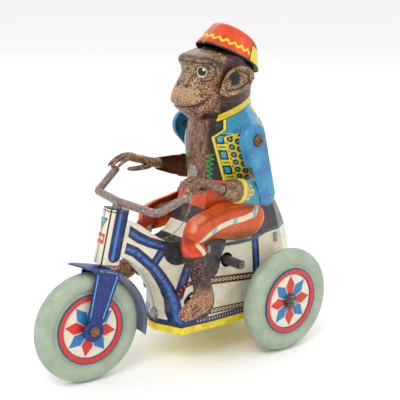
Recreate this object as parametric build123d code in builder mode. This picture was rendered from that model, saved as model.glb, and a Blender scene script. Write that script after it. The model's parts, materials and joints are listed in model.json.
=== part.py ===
"""Clockwork tin toy: a seated monkey in a fez who rides and pedals a three wheeled cycle.

+X points forward, +Y to the rider's left, +Z up.  The origin lies on the ground, midway
between the two axles.  All lengths are millimetres.
"""
from math import atan2, cos, hypot, pi, radians, sin
import os

from build123d import *

os.makedirs("parts", exist_ok=True)

# ---------------------------------------------------------------- driving dimensions
TIN = 0.4                      # sheet thickness of every stamping

TYRE_R = 17.5                  # outer radius of the tyres
TYRE_ROUND = 3.2               # radius of the tyre's round section
RIM_R = 10.9                   # radius of the rim under the tyre
RING_R = 11.2                  # outer radius of the raised red ring
WHEEL_FACE = 2.56              # ring plane, outboard of the wheel's middle plane
AXLE_R = 1.0
AXLE_X = 32.64                 # both axles stand this far from the origin
REAR_TRACK = 20.0              # middle plane of each rear wheel
REAR_AXLE_END = 25.3

RAKE = 13.72                   # lean of the steering axis, degrees
STEER_AT_REST = -5.47          # the front wheel stands a little to the right
STEER_BASE = (30.23, 0.0, 16.91)
HUB_LEAD = 2.5                 # the front hub is ahead of the steering axis
COLUMN_LOW = 20.4              # span of the steering column along its axis
COLUMN_HIGH = 37.7
COLUMN_DEPTH = 8.2
COLUMN_WIDTH = 5.2
STEM_R = 1.5
BAR_R = 1.25
BAR_HEIGHT = 39.8

FLOOR = 11.2                   # lower edge of the housing walls
WAIST = 56.0                   # the rider's shells stand on the frame's shells here

PLATE_Y = 5.6                  # inner face of each motor plate
PLATE = 0.8
ARBOR = (-14.6, 32.5)          # winding arbor, x and z
ARBOR_TIP_Y = 18.0
ARBOR_SQUARE = 2.4
REAR_AXLE = (-AXLE_X, TYRE_R)
CRANK = (0.0, 20.7)
CRANK_THROW = 3.0
CRANK_ANGLE = -105.0           # left crank arm at rest, degrees from +X towards +Z
MODULE = 0.5

SHOULDER = (-19.4, 16.4, 72.6)
ARM_YAW = 10.0                 # the arms' planes open outwards towards the hands
ELBOW = (-26.8, 53.6)          # x and z of the left elbow
HAND_ABOVE_BAR = 2.3

KNEE = (2.1, 46.0)
RUN = 0.05                     # radial clearance of each running fit


# ---------------------------------------------------------------- planes and helpers
def side_plane(y):
    """Plane whose local x and y are +X and +Z; a negative extrusion goes towards +Y."""
    return Plane(origin=(0, y, 0), x_dir=(1, 0, 0), z_dir=(0, -1, 0))


def steering_plane(turn=0.0):
    """Frame of the steering axis: local x forward, y to the left, z up the axis."""
    lean = radians(RAKE)
    angle = radians(turn)
    forward = Vector(cos(lean), 0, sin(lean))
    left = Vector(0, 1, 0)
    up = Vector(-sin(lean), 0, cos(lean))
    return Plane(origin=STEER_BASE, x_dir=forward * cos(angle) + left * sin(angle), z_dir=up)


HEAD_PLANE = steering_plane()
TURNED = steering_plane(STEER_AT_REST)


def at(plane, x, y, z):
    """A plane parallel to the given one, moved by local x, y, z."""
    return Plane(origin=plane.from_local_coords((x, y, z)), x_dir=plane.x_dir, z_dir=plane.z_dir)


def lateral(plane, x, y, z):
    """Plane across the wheel axis of a steering frame: local x forward, local y up."""
    return Plane(origin=plane.from_local_coords((x, y, z)), x_dir=plane.x_dir, z_dir=-plane.y_dir)


def sided(part, side):
    """The left-hand piece itself, or its mirror image for the right-hand side."""
    if side == "left":
        return part
    return mirror(part, about=Plane.XZ)


def keep(part, name):
    """Label one finished piece and write it."""
    part.label = name
    export_step(part, "parts/" + name + ".step")


def disc(plane, radius, thickness, bore=0.0):
    """A plain washer that grows from the plane along its normal."""
    with BuildPart() as washer:
        with BuildSketch(plane):
            Circle(radius)
            if bore > 0:
                Circle(bore, mode=Mode.SUBTRACT)
        extrude(amount=thickness)
    return washer.part


# ---------------------------------------------------------------- frame and housing
# Each level: height, nose x, nose half width, then corner, flank, hip, rear corner and tail
# as x and half width pairs.
FRAME_LEVELS = [
    (11.2, (7.3, 1.4), (3.7, 10.1), (-8.0, 11.4), (-24.0, 12.0), (-41.0, 11.6), (-48.0, 5.6)),
    (17.0, (6.7, 1.4), (3.0, 9.3), (-8.0, 11.3), (-24.0, 12.0), (-41.0, 11.6), (-48.0, 5.6)),
    (24.0, (8.6, 1.4), (4.4, 7.6), (-8.0, 11.0), (-24.0, 12.0), (-40.8, 11.4), (-48.0, 5.6)),
    (30.0, (12.6, 1.6), (7.4, 5.9), (-6.0, 10.2), (-24.0, 11.9), (-40.2, 11.0), (-47.8, 5.4)),
    (35.0, (18.0, 1.8), (12.0, 4.0), (-4.0, 8.9), (-24.0, 11.6), (-39.4, 10.5), (-46.8, 5.2)),
    (40.0, (25.0, 1.9), (18.0, 2.6), (-2.0, 6.4), (-24.0, 11.1), (-38.2, 9.9), (-45.2, 5.0)),
    (46.0, (25.0, 1.9), (18.0, 2.6), (-5.5, 6.8), (-23.5, 10.4), (-36.8, 9.2), (-42.6, 4.8)),
    (51.0, (25.0, 1.9), (18.0, 2.6), (-8.0, 6.9), (-23.0, 9.9), (-35.2, 8.6), (-39.6, 4.6)),
    (56.0, (25.0, 1.9), (18.0, 2.6), (-9.0, 6.8), (-22.5, 9.6), (-32.6, 8.4), (-36.6, 4.6)),
]
ARCH = [(6.7, 16.0), (8.5, 24.1), (10.9, 29.1), (16.4, 35.2)]
TOP_TUBE = [(17.5, 49.4), (8.6, 42.9), (2.6, 40.4), (-2.6, 42.3), (-6.5, 46.2), (-8.4, 52.3)]
TAIL = [(-40.2, 47.5), (-44.6, 40.5), (-47.2, 33.0)]


def frame_form(inset):
    """Solid form of frame and housing, drawn in by the inset on every side but the floor."""
    with BuildPart() as form:
        for level in FRAME_LEVELS:
            with BuildSketch(Plane.XY.offset(level[0])):
                half = [(x, max(w - inset, 0.3)) for x, w in level[1:]]
                with BuildLine():
                    Polyline(half + [(x, -w) for x, w in reversed(half)], close=True)
                make_face()
        loft(ruled=True)
        with BuildSketch(side_plane(0)):
            shift = 0.8 * inset
            arch = [(x - shift, z + shift) for x, z in ARCH]
            top = [(x - shift, z - shift) for x, z in TOP_TUBE]
            tail = [(x + shift, z - shift) for x, z in TAIL]
            low = FLOOR - 1.0
            high = WAIST + 1.0
            front = 7.3 - inset
            belly = -9.1 - inset
            rump = -36.3 + inset
            rear = -48.0 + inset
            with BuildLine():
                Spline([(front, low)] + arch + [(22.0, 39.0 + inset)])
                Polyline((22.0, 39.0 + inset), (19.4, 50.0 - inset), top[0])
                Spline(top + [(belly, high)])
                Line((belly, high), (rump, high))
                Spline([(rump, high)] + tail + [(rear, 25.0)])
                Polyline((rear, 25.0), (rear, low), (front, low))
            make_face()
        extrude(amount=20, both=True, mode=Mode.INTERSECT)
    return form.part


def column_form(inset):
    """The rounded steering column, closed by its two ends."""
    with BuildPart() as column:
        with BuildSketch(at(HEAD_PLANE, 0, 0, COLUMN_LOW + inset)):
            RectangleRounded(COLUMN_DEPTH - 2 * inset, COLUMN_WIDTH - 2 * inset, 2.1 - inset)
        extrude(amount=COLUMN_HIGH - COLUMN_LOW - 2 * inset)
    return column.part


def frame_solid(inset):
    """Frame, housing and column in one."""
    with BuildPart() as body:
        add(frame_form(inset))
        add(column_form(inset))
    return body.part


FRAME_OUTER = frame_solid(0)
FRAME_CAVITY = frame_solid(TIN)

STEM_HOLE_R = 2.0
ARBOR_HOLE_R = 2.4
AXLE_HOLE_R = 1.7


def frame_shell(side):
    """One stamped half of the frame and housing, with its holes."""
    with BuildPart() as shell:
        add(FRAME_OUTER)
        add(FRAME_CAVITY, mode=Mode.SUBTRACT)
        with BuildSketch(at(HEAD_PLANE, 0, 0, COLUMN_LOW - 1)):
            Circle(STEM_HOLE_R)
        extrude(amount=COLUMN_HIGH - COLUMN_LOW + 2, mode=Mode.SUBTRACT)
        with BuildSketch(side_plane(0)):
            with Locations(REAR_AXLE):
                Circle(AXLE_HOLE_R)
            with Locations(CRANK):
                Circle(AXLE_HOLE_R)
            if side == "left":
                with Locations(ARBOR):
                    Circle(ARBOR_HOLE_R)
        extrude(amount=-20 if side == "left" else 20, mode=Mode.SUBTRACT)
        split(bisect_by=Plane.XZ, keep=Keep.BOTTOM if side == "left" else Keep.TOP)
    return shell.part


# ---------------------------------------------------------------- rider's shells
# Each level: height, front x, cheek, side, rear flank as x and half width, and back x.
RIDER_LEVELS = [
    (56.0, -9.1, (-13.2, 6.6), (-22.4, 9.7), (-32.4, 6.8), -36.4),
    (61.0, -9.6, (-13.8, 8.2), (-22.6, 11.6), (-32.6, 7.8), -36.6),
    (66.0, -9.8, (-14.2, 9.4), (-22.8, 13.1), (-32.6, 8.8), -36.8),
    (71.0, -9.6, (-14.0, 9.4), (-22.6, 13.4), (-32.2, 8.8), -36.2),
    (75.3, -9.3, (-13.4, 7.8), (-22.0, 11.8), (-31.2, 7.8), -34.9),
    (78.4, -8.4, (-12.0, 6.0), (-20.6, 9.3), (-29.0, 6.6), -33.4),
    (81.2, -2.4, (-6.2, 5.3), (-18.6, 8.4), (-27.6, 6.0), -32.0),
    (84.5, -1.1, (-4.4, 5.4), (-17.8, 8.6), (-27.0, 6.0), -31.2),
    (88.0, -1.2, (-4.8, 5.5), (-17.4, 9.2), (-27.0, 6.4), -31.0),
    (91.0, -3.2, (-6.8, 5.8), (-17.4, 9.6), (-27.2, 6.8), -31.2),
    (94.5, -4.9, (-8.2, 6.6), (-17.6, 9.7), (-27.6, 6.8), -31.8),
    (98.0, -6.6, (-9.8, 6.2), (-18.4, 9.2), (-27.6, 6.2), -31.6),
    (102.4, -12.6, (-15.2, 4.4), (-20.6, 6.0), (-26.4, 4.2), -29.4),
]
HAT_LOW = (-22.3, 96.4)
HAT_HIGH = (-26.3, 103.8)
HAT_TILT = 28.4
HAT_LOW_R = (11.9, 10.2)
HAT_HIGH_R = (8.8, 8.0)


def head_outline(level, inset):
    """Closed smooth outline of one level of head or body."""
    height, front, cheek, flank, rear, back = level
    half = [cheek, flank, rear]
    left = [(x, w - inset) for x, w in half]
    right = [(x, inset - w) for x, w in reversed(half)]
    with BuildSketch(Plane.XY.offset(height)) as outline:
        with BuildLine():
            Spline([(front - inset, 0)] + left + [(back + inset, 0)] + right, periodic=True)
        make_face()
    return outline.sketch


def hat_plane(inset, high):
    """Tilted plane of the fez's lower or upper rim."""
    x, z = HAT_HIGH if high else HAT_LOW
    tilt = radians(HAT_TILT)
    normal = Vector(-sin(tilt), 0, cos(tilt))
    return Plane(origin=Vector(x, 0, z) - normal * inset, x_dir=(cos(tilt), 0, sin(tilt)), z_dir=normal)


def rider_form(inset):
    """Solid form of trunk, head and fez, drawn in by the inset."""
    with BuildPart() as form:
        loft([head_outline(level, inset) for level in RIDER_LEVELS])
        with BuildSketch(hat_plane(inset, False)):
            Ellipse(HAT_LOW_R[0] - inset, HAT_LOW_R[1] - inset)
        with BuildSketch(hat_plane(inset, True)):
            Ellipse(HAT_HIGH_R[0] - inset, HAT_HIGH_R[1] - inset)
        loft(ruled=True)
    return form.part


RIDER_OUTER = rider_form(0)
RIDER_CAVITY = rider_form(TIN)


with BuildPart() as left_rider_shell:
    add(RIDER_OUTER)
    add(RIDER_CAVITY, mode=Mode.SUBTRACT)
    split(bisect_by=Plane.XZ, keep=Keep.BOTTOM)

for side in ("left", "right"):
    keep(frame_shell(side), "frame_" + side + "_shell")
    keep(sided(left_rider_shell.part.solids().sort_by(SortBy.VOLUME)[-1], side), "rider_" + side + "_shell")


# ---------------------------------------------------------------- ears
EAR_CENTRE = (-18.7, 10.9, 91.6)
EAR_FLARE = 14.0
EAR_OUTLINE = [(-6.2, 0.8), (-4.2, 4.6), (0.4, 6.2), (4.8, 4.0), (6.2, -2.4), (1.0, -6.0), (-4.6, -5.4)]


def ear(side):
    """Embossed ear plate that stands off the side of the head and flares backwards."""
    flare = radians(EAR_FLARE)
    rearward = Vector(cos(flare), -sin(flare), 0)
    plate_plane = Plane(origin=EAR_CENTRE, x_dir=rearward, z_dir=Vector(-sin(flare), -cos(flare), 0))
    with BuildPart() as plate:
        with BuildSketch(plate_plane):
            with BuildLine():
                Spline([(-x, z) for x, z in EAR_OUTLINE], periodic=True)
            make_face()
        extrude(amount=-1.1)
        with BuildSketch(plate_plane.offset(-0.5)):
            with BuildLine():
                Spline([(0.2 - 0.6 * x, 0.6 * z + 0.4) for x, z in EAR_OUTLINE], periodic=True)
            make_face()
        extrude(amount=-1.0, mode=Mode.SUBTRACT)
        add(RIDER_OUTER, mode=Mode.SUBTRACT)
    return sided(plate.part.solids().sort_by(SortBy.VOLUME)[-1], side)


# ---------------------------------------------------------------- limbs
def limb_form(stations, base, along, trim, half=True):
    """Tapered limb above a base plane: each station is x, y, half width, depth and lift."""
    outward = -base.z_dir
    forward = (base.x_dir * along[0] + base.y_dir * along[1]).normalized()
    back = -0.3 if trim > 0 else 0.0
    with BuildPart() as form:
        for x, y, width, depth, lift in stations:
            centre = base.from_local_coords((x, y, -lift))
            with BuildSketch(Plane(origin=centre, x_dir=outward, z_dir=forward)):
                Ellipse(depth - trim, width - trim)
                if half:
                    with Locations((back - 2 * depth, 0)):
                        Rectangle(4 * depth, 4 * width, mode=Mode.SUBTRACT)
        loft()
    return form.part


THIGH_BASE = 10.2
THIGH_RINGS = [(0.0, 1.0), (2.9, 0.985), (3.9, 0.92), (4.5, 0.78), (4.8, 0.55), (4.9, 0.3)]
THIGH_OUTLINE = [
    (5.9, 46.4), (2.4, 50.0), (-4.0, 53.6), (-12.0, 55.2), (-21.4, 54.6),
    (-23.4, 50.0), (-19.4, 43.4), (-12.6, 40.6), (-5.6, 42.2), (0.2, 42.6),
]
THIGH_MIDDLE = (-10.5, 48.0)
KNEE_CAP_Y = 13.2
KNEE_PIN_R = 0.8


def thigh_dome(inset):
    """Bulging trouser leg built from shrinking copies of one outline."""
    with BuildPart() as dome:
        for height, scale_by in THIGH_RINGS:
            ring = max(scale_by - inset * 0.07, 0.2)
            with BuildSketch(side_plane(THIGH_BASE + height - inset)):
                middle = [(x - THIGH_MIDDLE[0], z - THIGH_MIDDLE[1]) for x, z in THIGH_OUTLINE]
                points = [(THIGH_MIDDLE[0] + x * ring, THIGH_MIDDLE[1] + z * ring) for x, z in middle]
                with BuildLine():
                    Spline(points, periodic=True)
                make_face()
        loft()
    return dome.part


with BuildPart() as left_thigh:
    add(thigh_dome(0))
    add(thigh_dome(TIN), mode=Mode.SUBTRACT)
    with BuildSketch(side_plane(0)):
        with Locations(KNEE):
            Circle(7.4)
    extrude(amount=-KNEE_CAP_Y, mode=Mode.SUBTRACT)
    with BuildSketch(side_plane(0)):
        with Locations(KNEE):
            Circle(KNEE_PIN_R)
    extrude(amount=-20, mode=Mode.SUBTRACT)
    add(FRAME_OUTER, mode=Mode.SUBTRACT)
    add(RIDER_OUTER, mode=Mode.SUBTRACT)

for side in ("left", "right"):
    keep(ear(side), side + "_ear")
    keep(sided(left_thigh.part.solids().sort_by(SortBy.VOLUME)[-1], side), side + "_thigh")


# ---------------------------------------------------------------- lower legs
LEG_BASE = 10.1
KNEE_DISC_R = 6.1
SHIN = [
    (3.9, 45.0, 4.4, 2.4, 0.0),
    (3.8, 40.8, 4.1, 2.7, 0.8),
    (3.5, 35.0, 3.6, 3.5, 4.4),
    (3.2, 29.5, 3.6, 3.6, 7.0),
    (3.4, 26.0, 3.5, 3.5, 7.7),
]
FOOT = [
    (-0.9, 25.1, 1.5, 2.8, 7.7),
    (1.6, 24.7, 3.1, 3.6, 7.7),
    (5.4, 24.0, 3.5, 3.6, 7.7),
    (9.0, 22.9, 2.4, 3.4, 7.7),
    (11.8, 21.9, 1.2, 2.6, 7.7),
]

with BuildPart() as left_lower_leg:
    add(limb_form(SHIN, side_plane(LEG_BASE), (0, -1), 0))
    add(limb_form(FOOT, side_plane(LEG_BASE), (0.97, -0.24), 0))
    with BuildSketch(side_plane(LEG_BASE)):
        with Locations(KNEE):
            Circle(KNEE_DISC_R)
    extrude(amount=-2.7)
    add(limb_form(SHIN, side_plane(LEG_BASE), (0, -1), TIN), mode=Mode.SUBTRACT)
    with BuildSketch(side_plane(LEG_BASE)):
        with Locations(KNEE):
            Circle(KNEE_DISC_R - TIN)
    extrude(amount=TIN - 2.7, mode=Mode.SUBTRACT)
    with BuildSketch(side_plane(0)):
        with Locations(KNEE):
            Circle(KNEE_PIN_R + RUN)
    extrude(amount=-20, mode=Mode.SUBTRACT)

with BuildPart() as left_knee_pin:
    with BuildSketch(side_plane(LEG_BASE - 1.0)):
        with Locations(KNEE):
            Circle(KNEE_PIN_R)
    extrude(amount=-6.5)
    with BuildSketch(side_plane(LEG_BASE + 0.4)):
        with Locations(KNEE):
            Circle(1.9)
            Circle(KNEE_PIN_R, mode=Mode.SUBTRACT)
    extrude(amount=-1.0)

for side in ("left", "right"):
    keep(sided(left_knee_pin.part, side), side + "_knee_pin")
    keep(sided(left_lower_leg.part.solids().sort_by(SortBy.VOLUME)[-1], side), side + "_lower_leg")


# ---------------------------------------------------------------- handlebar and steering parts
BAR_CORNER = (-2.9, 17.8)
BAR_GRIP = (-10.6, 21.8, 47.4)


def bar_point(x, y, z):
    """World place of a point given in the turned steering frame."""
    return TURNED.from_local_coords((x, y, z))


with BuildPart() as handlebar:
    with BuildLine() as bar_path:
        FilletPolyline(
            bar_point(*BAR_GRIP),
            bar_point(BAR_CORNER[0], BAR_CORNER[1], BAR_HEIGHT),
            bar_point(0, 0, BAR_HEIGHT),
            bar_point(BAR_CORNER[0], -BAR_CORNER[1], BAR_HEIGHT),
            bar_point(BAR_GRIP[0], -BAR_GRIP[1], BAR_GRIP[2]),
            radius=[4.0, 12.0, 1.8],
        )
    with BuildSketch(Plane(origin=bar_path.line @ 0, z_dir=bar_path.line % 0)):
        Circle(BAR_R)
    sweep()

TYRE_GAP_TOP = 17.9            # underside of the fork's crown, above the hub
CROWN_TOP = TYRE_GAP_TOP + TIN
FORK_Y = 4.1                   # inner face of each fork leg
FORK_SHEET = 0.5
FENDER_R = 19.6
FENDER_SIDE = 4.9
BEAK = 13.0

with BuildPart() as steering_stem:
    with BuildSketch(at(TURNED, 0, 0, CROWN_TOP)):
        Circle(STEM_R)
    extrude(amount=BAR_HEIGHT - CROWN_TOP)
    with BuildSketch(at(TURNED, 0, 0, FENDER_R)):
        Circle(STEM_R + 0.6)
    extrude(amount=COLUMN_LOW - FENDER_R - 0.15)
    add(handlebar.part, mode=Mode.SUBTRACT)

with BuildPart() as column_bushes:
    for level in (COLUMN_LOW, COLUMN_HIGH - TIN):
        with BuildSketch(at(HEAD_PLANE, 0, 0, level)):
            Circle(STEM_HOLE_R)
            Circle(STEM_R + RUN, mode=Mode.SUBTRACT)
        extrude(amount=TIN)

FRONT_HUB = (HUB_LEAD, 0.0, 0.0)

FORK_OUTLINE = [(5.4, CROWN_TOP), (5.3, 4.0), (HUB_LEAD, 0.5), (-0.7, 3.6), (-3.0, CROWN_TOP)]

with BuildPart() as fork:
    for y in (FORK_Y, -FORK_Y - FORK_SHEET):
        with BuildSketch(lateral(TURNED, 0, y, 0)):
            with BuildLine():
                Polyline(FORK_OUTLINE, close=True)
            make_face()
            with Locations((HUB_LEAD, 0)):
                Circle(3.4)
                Circle(AXLE_R, mode=Mode.SUBTRACT)
        extrude(amount=-FORK_SHEET)
    with BuildSketch(lateral(TURNED, 0, -FORK_Y - FORK_SHEET, 0)):
        with Locations((1.2, TYRE_GAP_TOP + TIN / 2)):
            Rectangle(8.4, TIN)
    extrude(amount=-2 * (FORK_Y + FORK_SHEET))

hub_across = Plane(origin=bar_point(*FRONT_HUB), x_dir=TURNED.y_dir, z_dir=TURNED.x_dir)
EDGE_R = FENDER_R - 0.8        # the fender's section is arched by this much less at its edges


def fender_section():
    """Arched section of the fender, above the hub."""
    with BuildSketch(hub_across) as section:
        with BuildLine():
            ThreePointArc((-FENDER_SIDE, EDGE_R), (0, FENDER_R), (FENDER_SIDE, EDGE_R))
            Line((FENDER_SIDE, EDGE_R), (FENDER_SIDE, EDGE_R - TIN))
            ThreePointArc((FENDER_SIDE, EDGE_R - TIN), (0, FENDER_R - TIN), (-FENDER_SIDE, EDGE_R - TIN))
            Line((-FENDER_SIDE, EDGE_R - TIN), (-FENDER_SIDE, EDGE_R))
        make_face()
    return section.sketch


with BuildPart() as beak:
    add(fender_section())
    extrude(amount=BEAK - HUB_LEAD, dir=TURNED.x_dir)
    with BuildSketch(at(TURNED, 0, 0, FENDER_R - 3)):
        with BuildLine():
            Polyline((HUB_LEAD - 1, FENDER_SIDE), (HUB_LEAD + 3, FENDER_SIDE))
            Spline((HUB_LEAD + 3, FENDER_SIDE), (BEAK - 3, 2.6), (BEAK, 0))
            Spline((BEAK, 0), (BEAK - 3, -2.6), (HUB_LEAD + 3, -FENDER_SIDE))
            Polyline((HUB_LEAD + 3, -FENDER_SIDE), (HUB_LEAD - 1, -FENDER_SIDE), (HUB_LEAD - 1, FENDER_SIDE))
        make_face()
    extrude(amount=6, mode=Mode.INTERSECT)

with BuildPart() as fender:
    add(fender_section())
    revolve(axis=Axis(hub_across.origin, -TURNED.y_dir), revolution_arc=92)
    add(beak.part)
    with BuildSketch(at(TURNED, 0, 0, FENDER_R - 3)):
        Circle(STEM_R)
    extrude(amount=4, mode=Mode.SUBTRACT)
    add(fork.part, mode=Mode.SUBTRACT)

keep(handlebar.part, "handlebar")
keep(steering_stem.part.solids().sort_by(SortBy.VOLUME)[-1], "steering_stem")
keep(column_bushes.part, "column_bushes")
keep(fork.part, "fork")
keep(fender.part.solids().sort_by(SortBy.VOLUME)[-1], "fender")


# ---------------------------------------------------------------- wheels
def wheel(plane, bore):
    """Pressed wheel: hub tube, two discs and the rim; local x is radial, local y lateral."""
    rim_half = 2.4
    disc_y = 2.1
    with BuildPart() as body:
        with BuildSketch(plane):
            with BuildLine():
                Polyline((bore, -2.9), (2.0, -2.9), (2.0, 2.9), (bore, 2.9), close=True)
            make_face()
            for y in (-disc_y, disc_y):
                with Locations(((RIM_R + 1.6) / 2, y)):
                    Rectangle(RIM_R - 1.6, TIN)
            with Locations((RIM_R - TIN / 2, 0)):
                Rectangle(TIN, 2 * rim_half)
            for y in (-WHEEL_FACE, WHEEL_FACE):
                with Locations(((RING_R + 9.4) / 2, y)):
                    Rectangle(RING_R - 9.4, TIN)
                with Locations((9.6, (abs(y) + disc_y) / 2 * (1 if y > 0 else -1))):
                    Rectangle(TIN, WHEEL_FACE - disc_y + TIN)
        revolve(axis=Axis(plane.origin, plane.y_dir))
    return body.part


def tyre(plane):
    """Round section rubber tyre on its rim."""
    with BuildPart() as body:
        with BuildSketch(plane):
            with Locations((TYRE_R - TYRE_ROUND, 0)):
                Circle(TYRE_ROUND)
            with Locations((RIM_R + 1.2, 0)):
                Rectangle(2.4, 2 * 2.3)
        revolve(axis=Axis(plane.origin, plane.y_dir))
    return body.part


FRONT_WHEEL = at(TURNED, *FRONT_HUB)
keep(wheel(FRONT_WHEEL, AXLE_R + RUN), "front_wheel")
keep(tyre(FRONT_WHEEL), "front_tyre")
for side, sign in (("left", 1), ("right", -1)):
    middle = Plane.XY.offset(TYRE_R).move(Location((-AXLE_X, sign * REAR_TRACK, 0)))
    keep(wheel(middle, AXLE_R), "rear_" + side + "_wheel")
    keep(tyre(middle), "rear_" + side + "_tyre")

AXLE_HEAD_R = 1.6
with BuildPart() as front_axle:
    with BuildSketch(lateral(TURNED, HUB_LEAD, -FORK_Y - FORK_SHEET, 0)):
        Circle(AXLE_R)
    extrude(amount=-2 * (FORK_Y + FORK_SHEET))
    for y in (FORK_Y + FORK_SHEET, -FORK_Y - FORK_SHEET - 0.6):
        with BuildSketch(lateral(TURNED, HUB_LEAD, y, 0)):
            Circle(AXLE_HEAD_R)
        extrude(amount=-0.6)

with BuildPart() as rear_axle:
    with BuildSketch(side_plane(-REAR_AXLE_END)):
        with Locations(REAR_AXLE):
            Circle(AXLE_R)
    extrude(amount=-2 * REAR_AXLE_END)
    chamfer(rear_axle.edges().filter_by(GeomType.CIRCLE), 0.25)

WASHER_Y = REAR_TRACK + 2.9
with BuildPart() as axle_washers:
    for y in (WASHER_Y, -WASHER_Y - 0.7):
        with BuildSketch(side_plane(y)):
            with Locations(REAR_AXLE):
                Circle(2.2)
                Circle(AXLE_R, mode=Mode.SUBTRACT)
        extrude(amount=-0.7)

keep(front_axle.part, "front_axle")
keep(rear_axle.part, "rear_axle")
keep(axle_washers.part, "axle_washers")


# ---------------------------------------------------------------- arms
SHOULDER_R = 5.4
ELBOW_R = 4.1
ARM_LOW = -1.3                 # open edge of the upper arm shell, below the arm's plane
ARM_TOP = 1.7
SHOULDER_RIVET_R = 1.0
ELBOW_PIN_R = 0.6
FOREARM_CAP = 0.8              # the forearm stays below this height under the upper arm


ARM_TURN = radians(ARM_YAW)
# Left arm's plane through the shoulder: local x forward and outward, local y up.
ARM = Plane(
    origin=SHOULDER,
    x_dir=(cos(ARM_TURN), sin(ARM_TURN), 0),
    z_dir=(sin(ARM_TURN), -cos(ARM_TURN), 0),
)
UPPER_LENGTH = hypot(ELBOW[0] - SHOULDER[0], ELBOW[1] - SHOULDER[2])


def grip_target(side, steer=STEER_AT_REST):
    """Where the hand's middle belongs, in the arm's plane, for a steering angle."""
    sign = 1 if side == "left" else -1
    end = steering_plane(steer).from_local_coords((BAR_GRIP[0], sign * BAR_GRIP[1], BAR_GRIP[2]))
    local = ARM.to_local_coords(Vector(end.X, sign * end.Y, end.Z))
    return (local.X, local.Y + HAND_ABOVE_BAR)


LEFT_ELBOW = (ELBOW[0] - SHOULDER[0], ELBOW[1] - SHOULDER[2])
LEFT_GRIP = grip_target("left")
FOREARM_LENGTH = hypot(LEFT_GRIP[0] - LEFT_ELBOW[0], LEFT_GRIP[1] - LEFT_ELBOW[1])


def elbow_place(grip):
    """Elbow below and behind the line from shoulder to grip, for the two link lengths."""
    reach = hypot(*grip)
    along = (UPPER_LENGTH**2 - FOREARM_LENGTH**2 + reach**2) / (2 * reach)
    aside = (UPPER_LENGTH**2 - along**2) ** 0.5
    unit = (grip[0] / reach, grip[1] / reach)
    return (along * unit[0] + aside * unit[1], along * unit[1] - aside * unit[0])


def arm_angles(side, steer=STEER_AT_REST):
    """Directions of upper arm and forearm in the arm's plane, in degrees."""
    grip = grip_target(side, steer)
    elbow = elbow_place(grip)
    upper = atan2(elbow[1], elbow[0])
    fore = atan2(grip[1] - elbow[1], grip[0] - elbow[0])
    return (upper * 180 / pi, fore * 180 / pi)


def rotated(plane, angle, x=0.0, y=0.0):
    """The plane moved by local x, y and turned in itself, so that local x follows the angle."""
    turn = radians(angle)
    x_dir = plane.x_dir * cos(turn) + plane.y_dir * sin(turn)
    return Plane(origin=plane.from_local_coords((x, y, 0)), x_dir=x_dir, z_dir=plane.z_dir)


def upper_arm(angle):
    """Plain domed shell from shoulder to elbow; its lower end is a cap over the forearm."""
    limb = rotated(ARM, angle)
    with BuildPart() as shell:
        with BuildSketch(limb.offset(-ARM_LOW)):
            Circle(SHOULDER_R)
            with Locations((UPPER_LENGTH, 0)):
                Circle(ELBOW_R)
            make_hull()
        extrude(amount=ARM_LOW - ARM_TOP)
        outer = shell.faces().filter_by(GeomType.PLANE).sort_by(Axis(SHOULDER, -ARM.z_dir))[-1]
        fillet(outer.edges(), 1.7)
        inner = shell.faces().filter_by(GeomType.PLANE).sort_by(Axis(SHOULDER, -ARM.z_dir))[0]
        offset(amount=-TIN, openings=inner)
        with BuildSketch(limb.offset(-ARM_LOW)):
            with Locations((UPPER_LENGTH, 0)):
                Circle(ELBOW_R + 5.5)
            with Locations((UPPER_LENGTH - 4, 4)):
                Rectangle(18, 8)
        extrude(amount=ARM_LOW - FOREARM_CAP - 0.15, mode=Mode.SUBTRACT)
        with BuildSketch(limb.offset(-ARM_LOW)):
            Circle(SHOULDER_RIVET_R + RUN)
            with Locations((UPPER_LENGTH, 0)):
                Circle(ELBOW_PIN_R)
        extrude(amount=-10, mode=Mode.SUBTRACT)
    return shell.part


# Each station: distance from the elbow, height, half width, depth and lift of the half round.
FOREARM = [
    (-3.3, 0.0, 2.2, 1.0, -1.0),
    (0.0, 0.0, 3.8, 1.7, -1.0),
    (8.5, 0.0, 3.8, 1.75, -1.0),
    (13.0, 0.0, 3.75, 3.1, -0.7),
    (16.5, 0.0, 3.6, 3.8, -0.5),
    (20.5, 0.0, 2.8, 3.2, -0.2),
    (26.0, 0.0, 1.9, 2.5, 0.0),
]
HAND = [
    (24.5, 0.0, 1.9, 2.3, 0.0),
    (29.0, 0.2, 1.9, 2.7, 0.0),
    (33.0, 0.4, 1.9, 3.0, 0.0),
    (36.5, 0.1, 1.5, 2.9, 0.0),
    (39.5, -0.8, 0.9, 2.5, 0.0),
]
GRIP_ROOM = 0.85               # clear space all round the bar inside the hand's hollow


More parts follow.
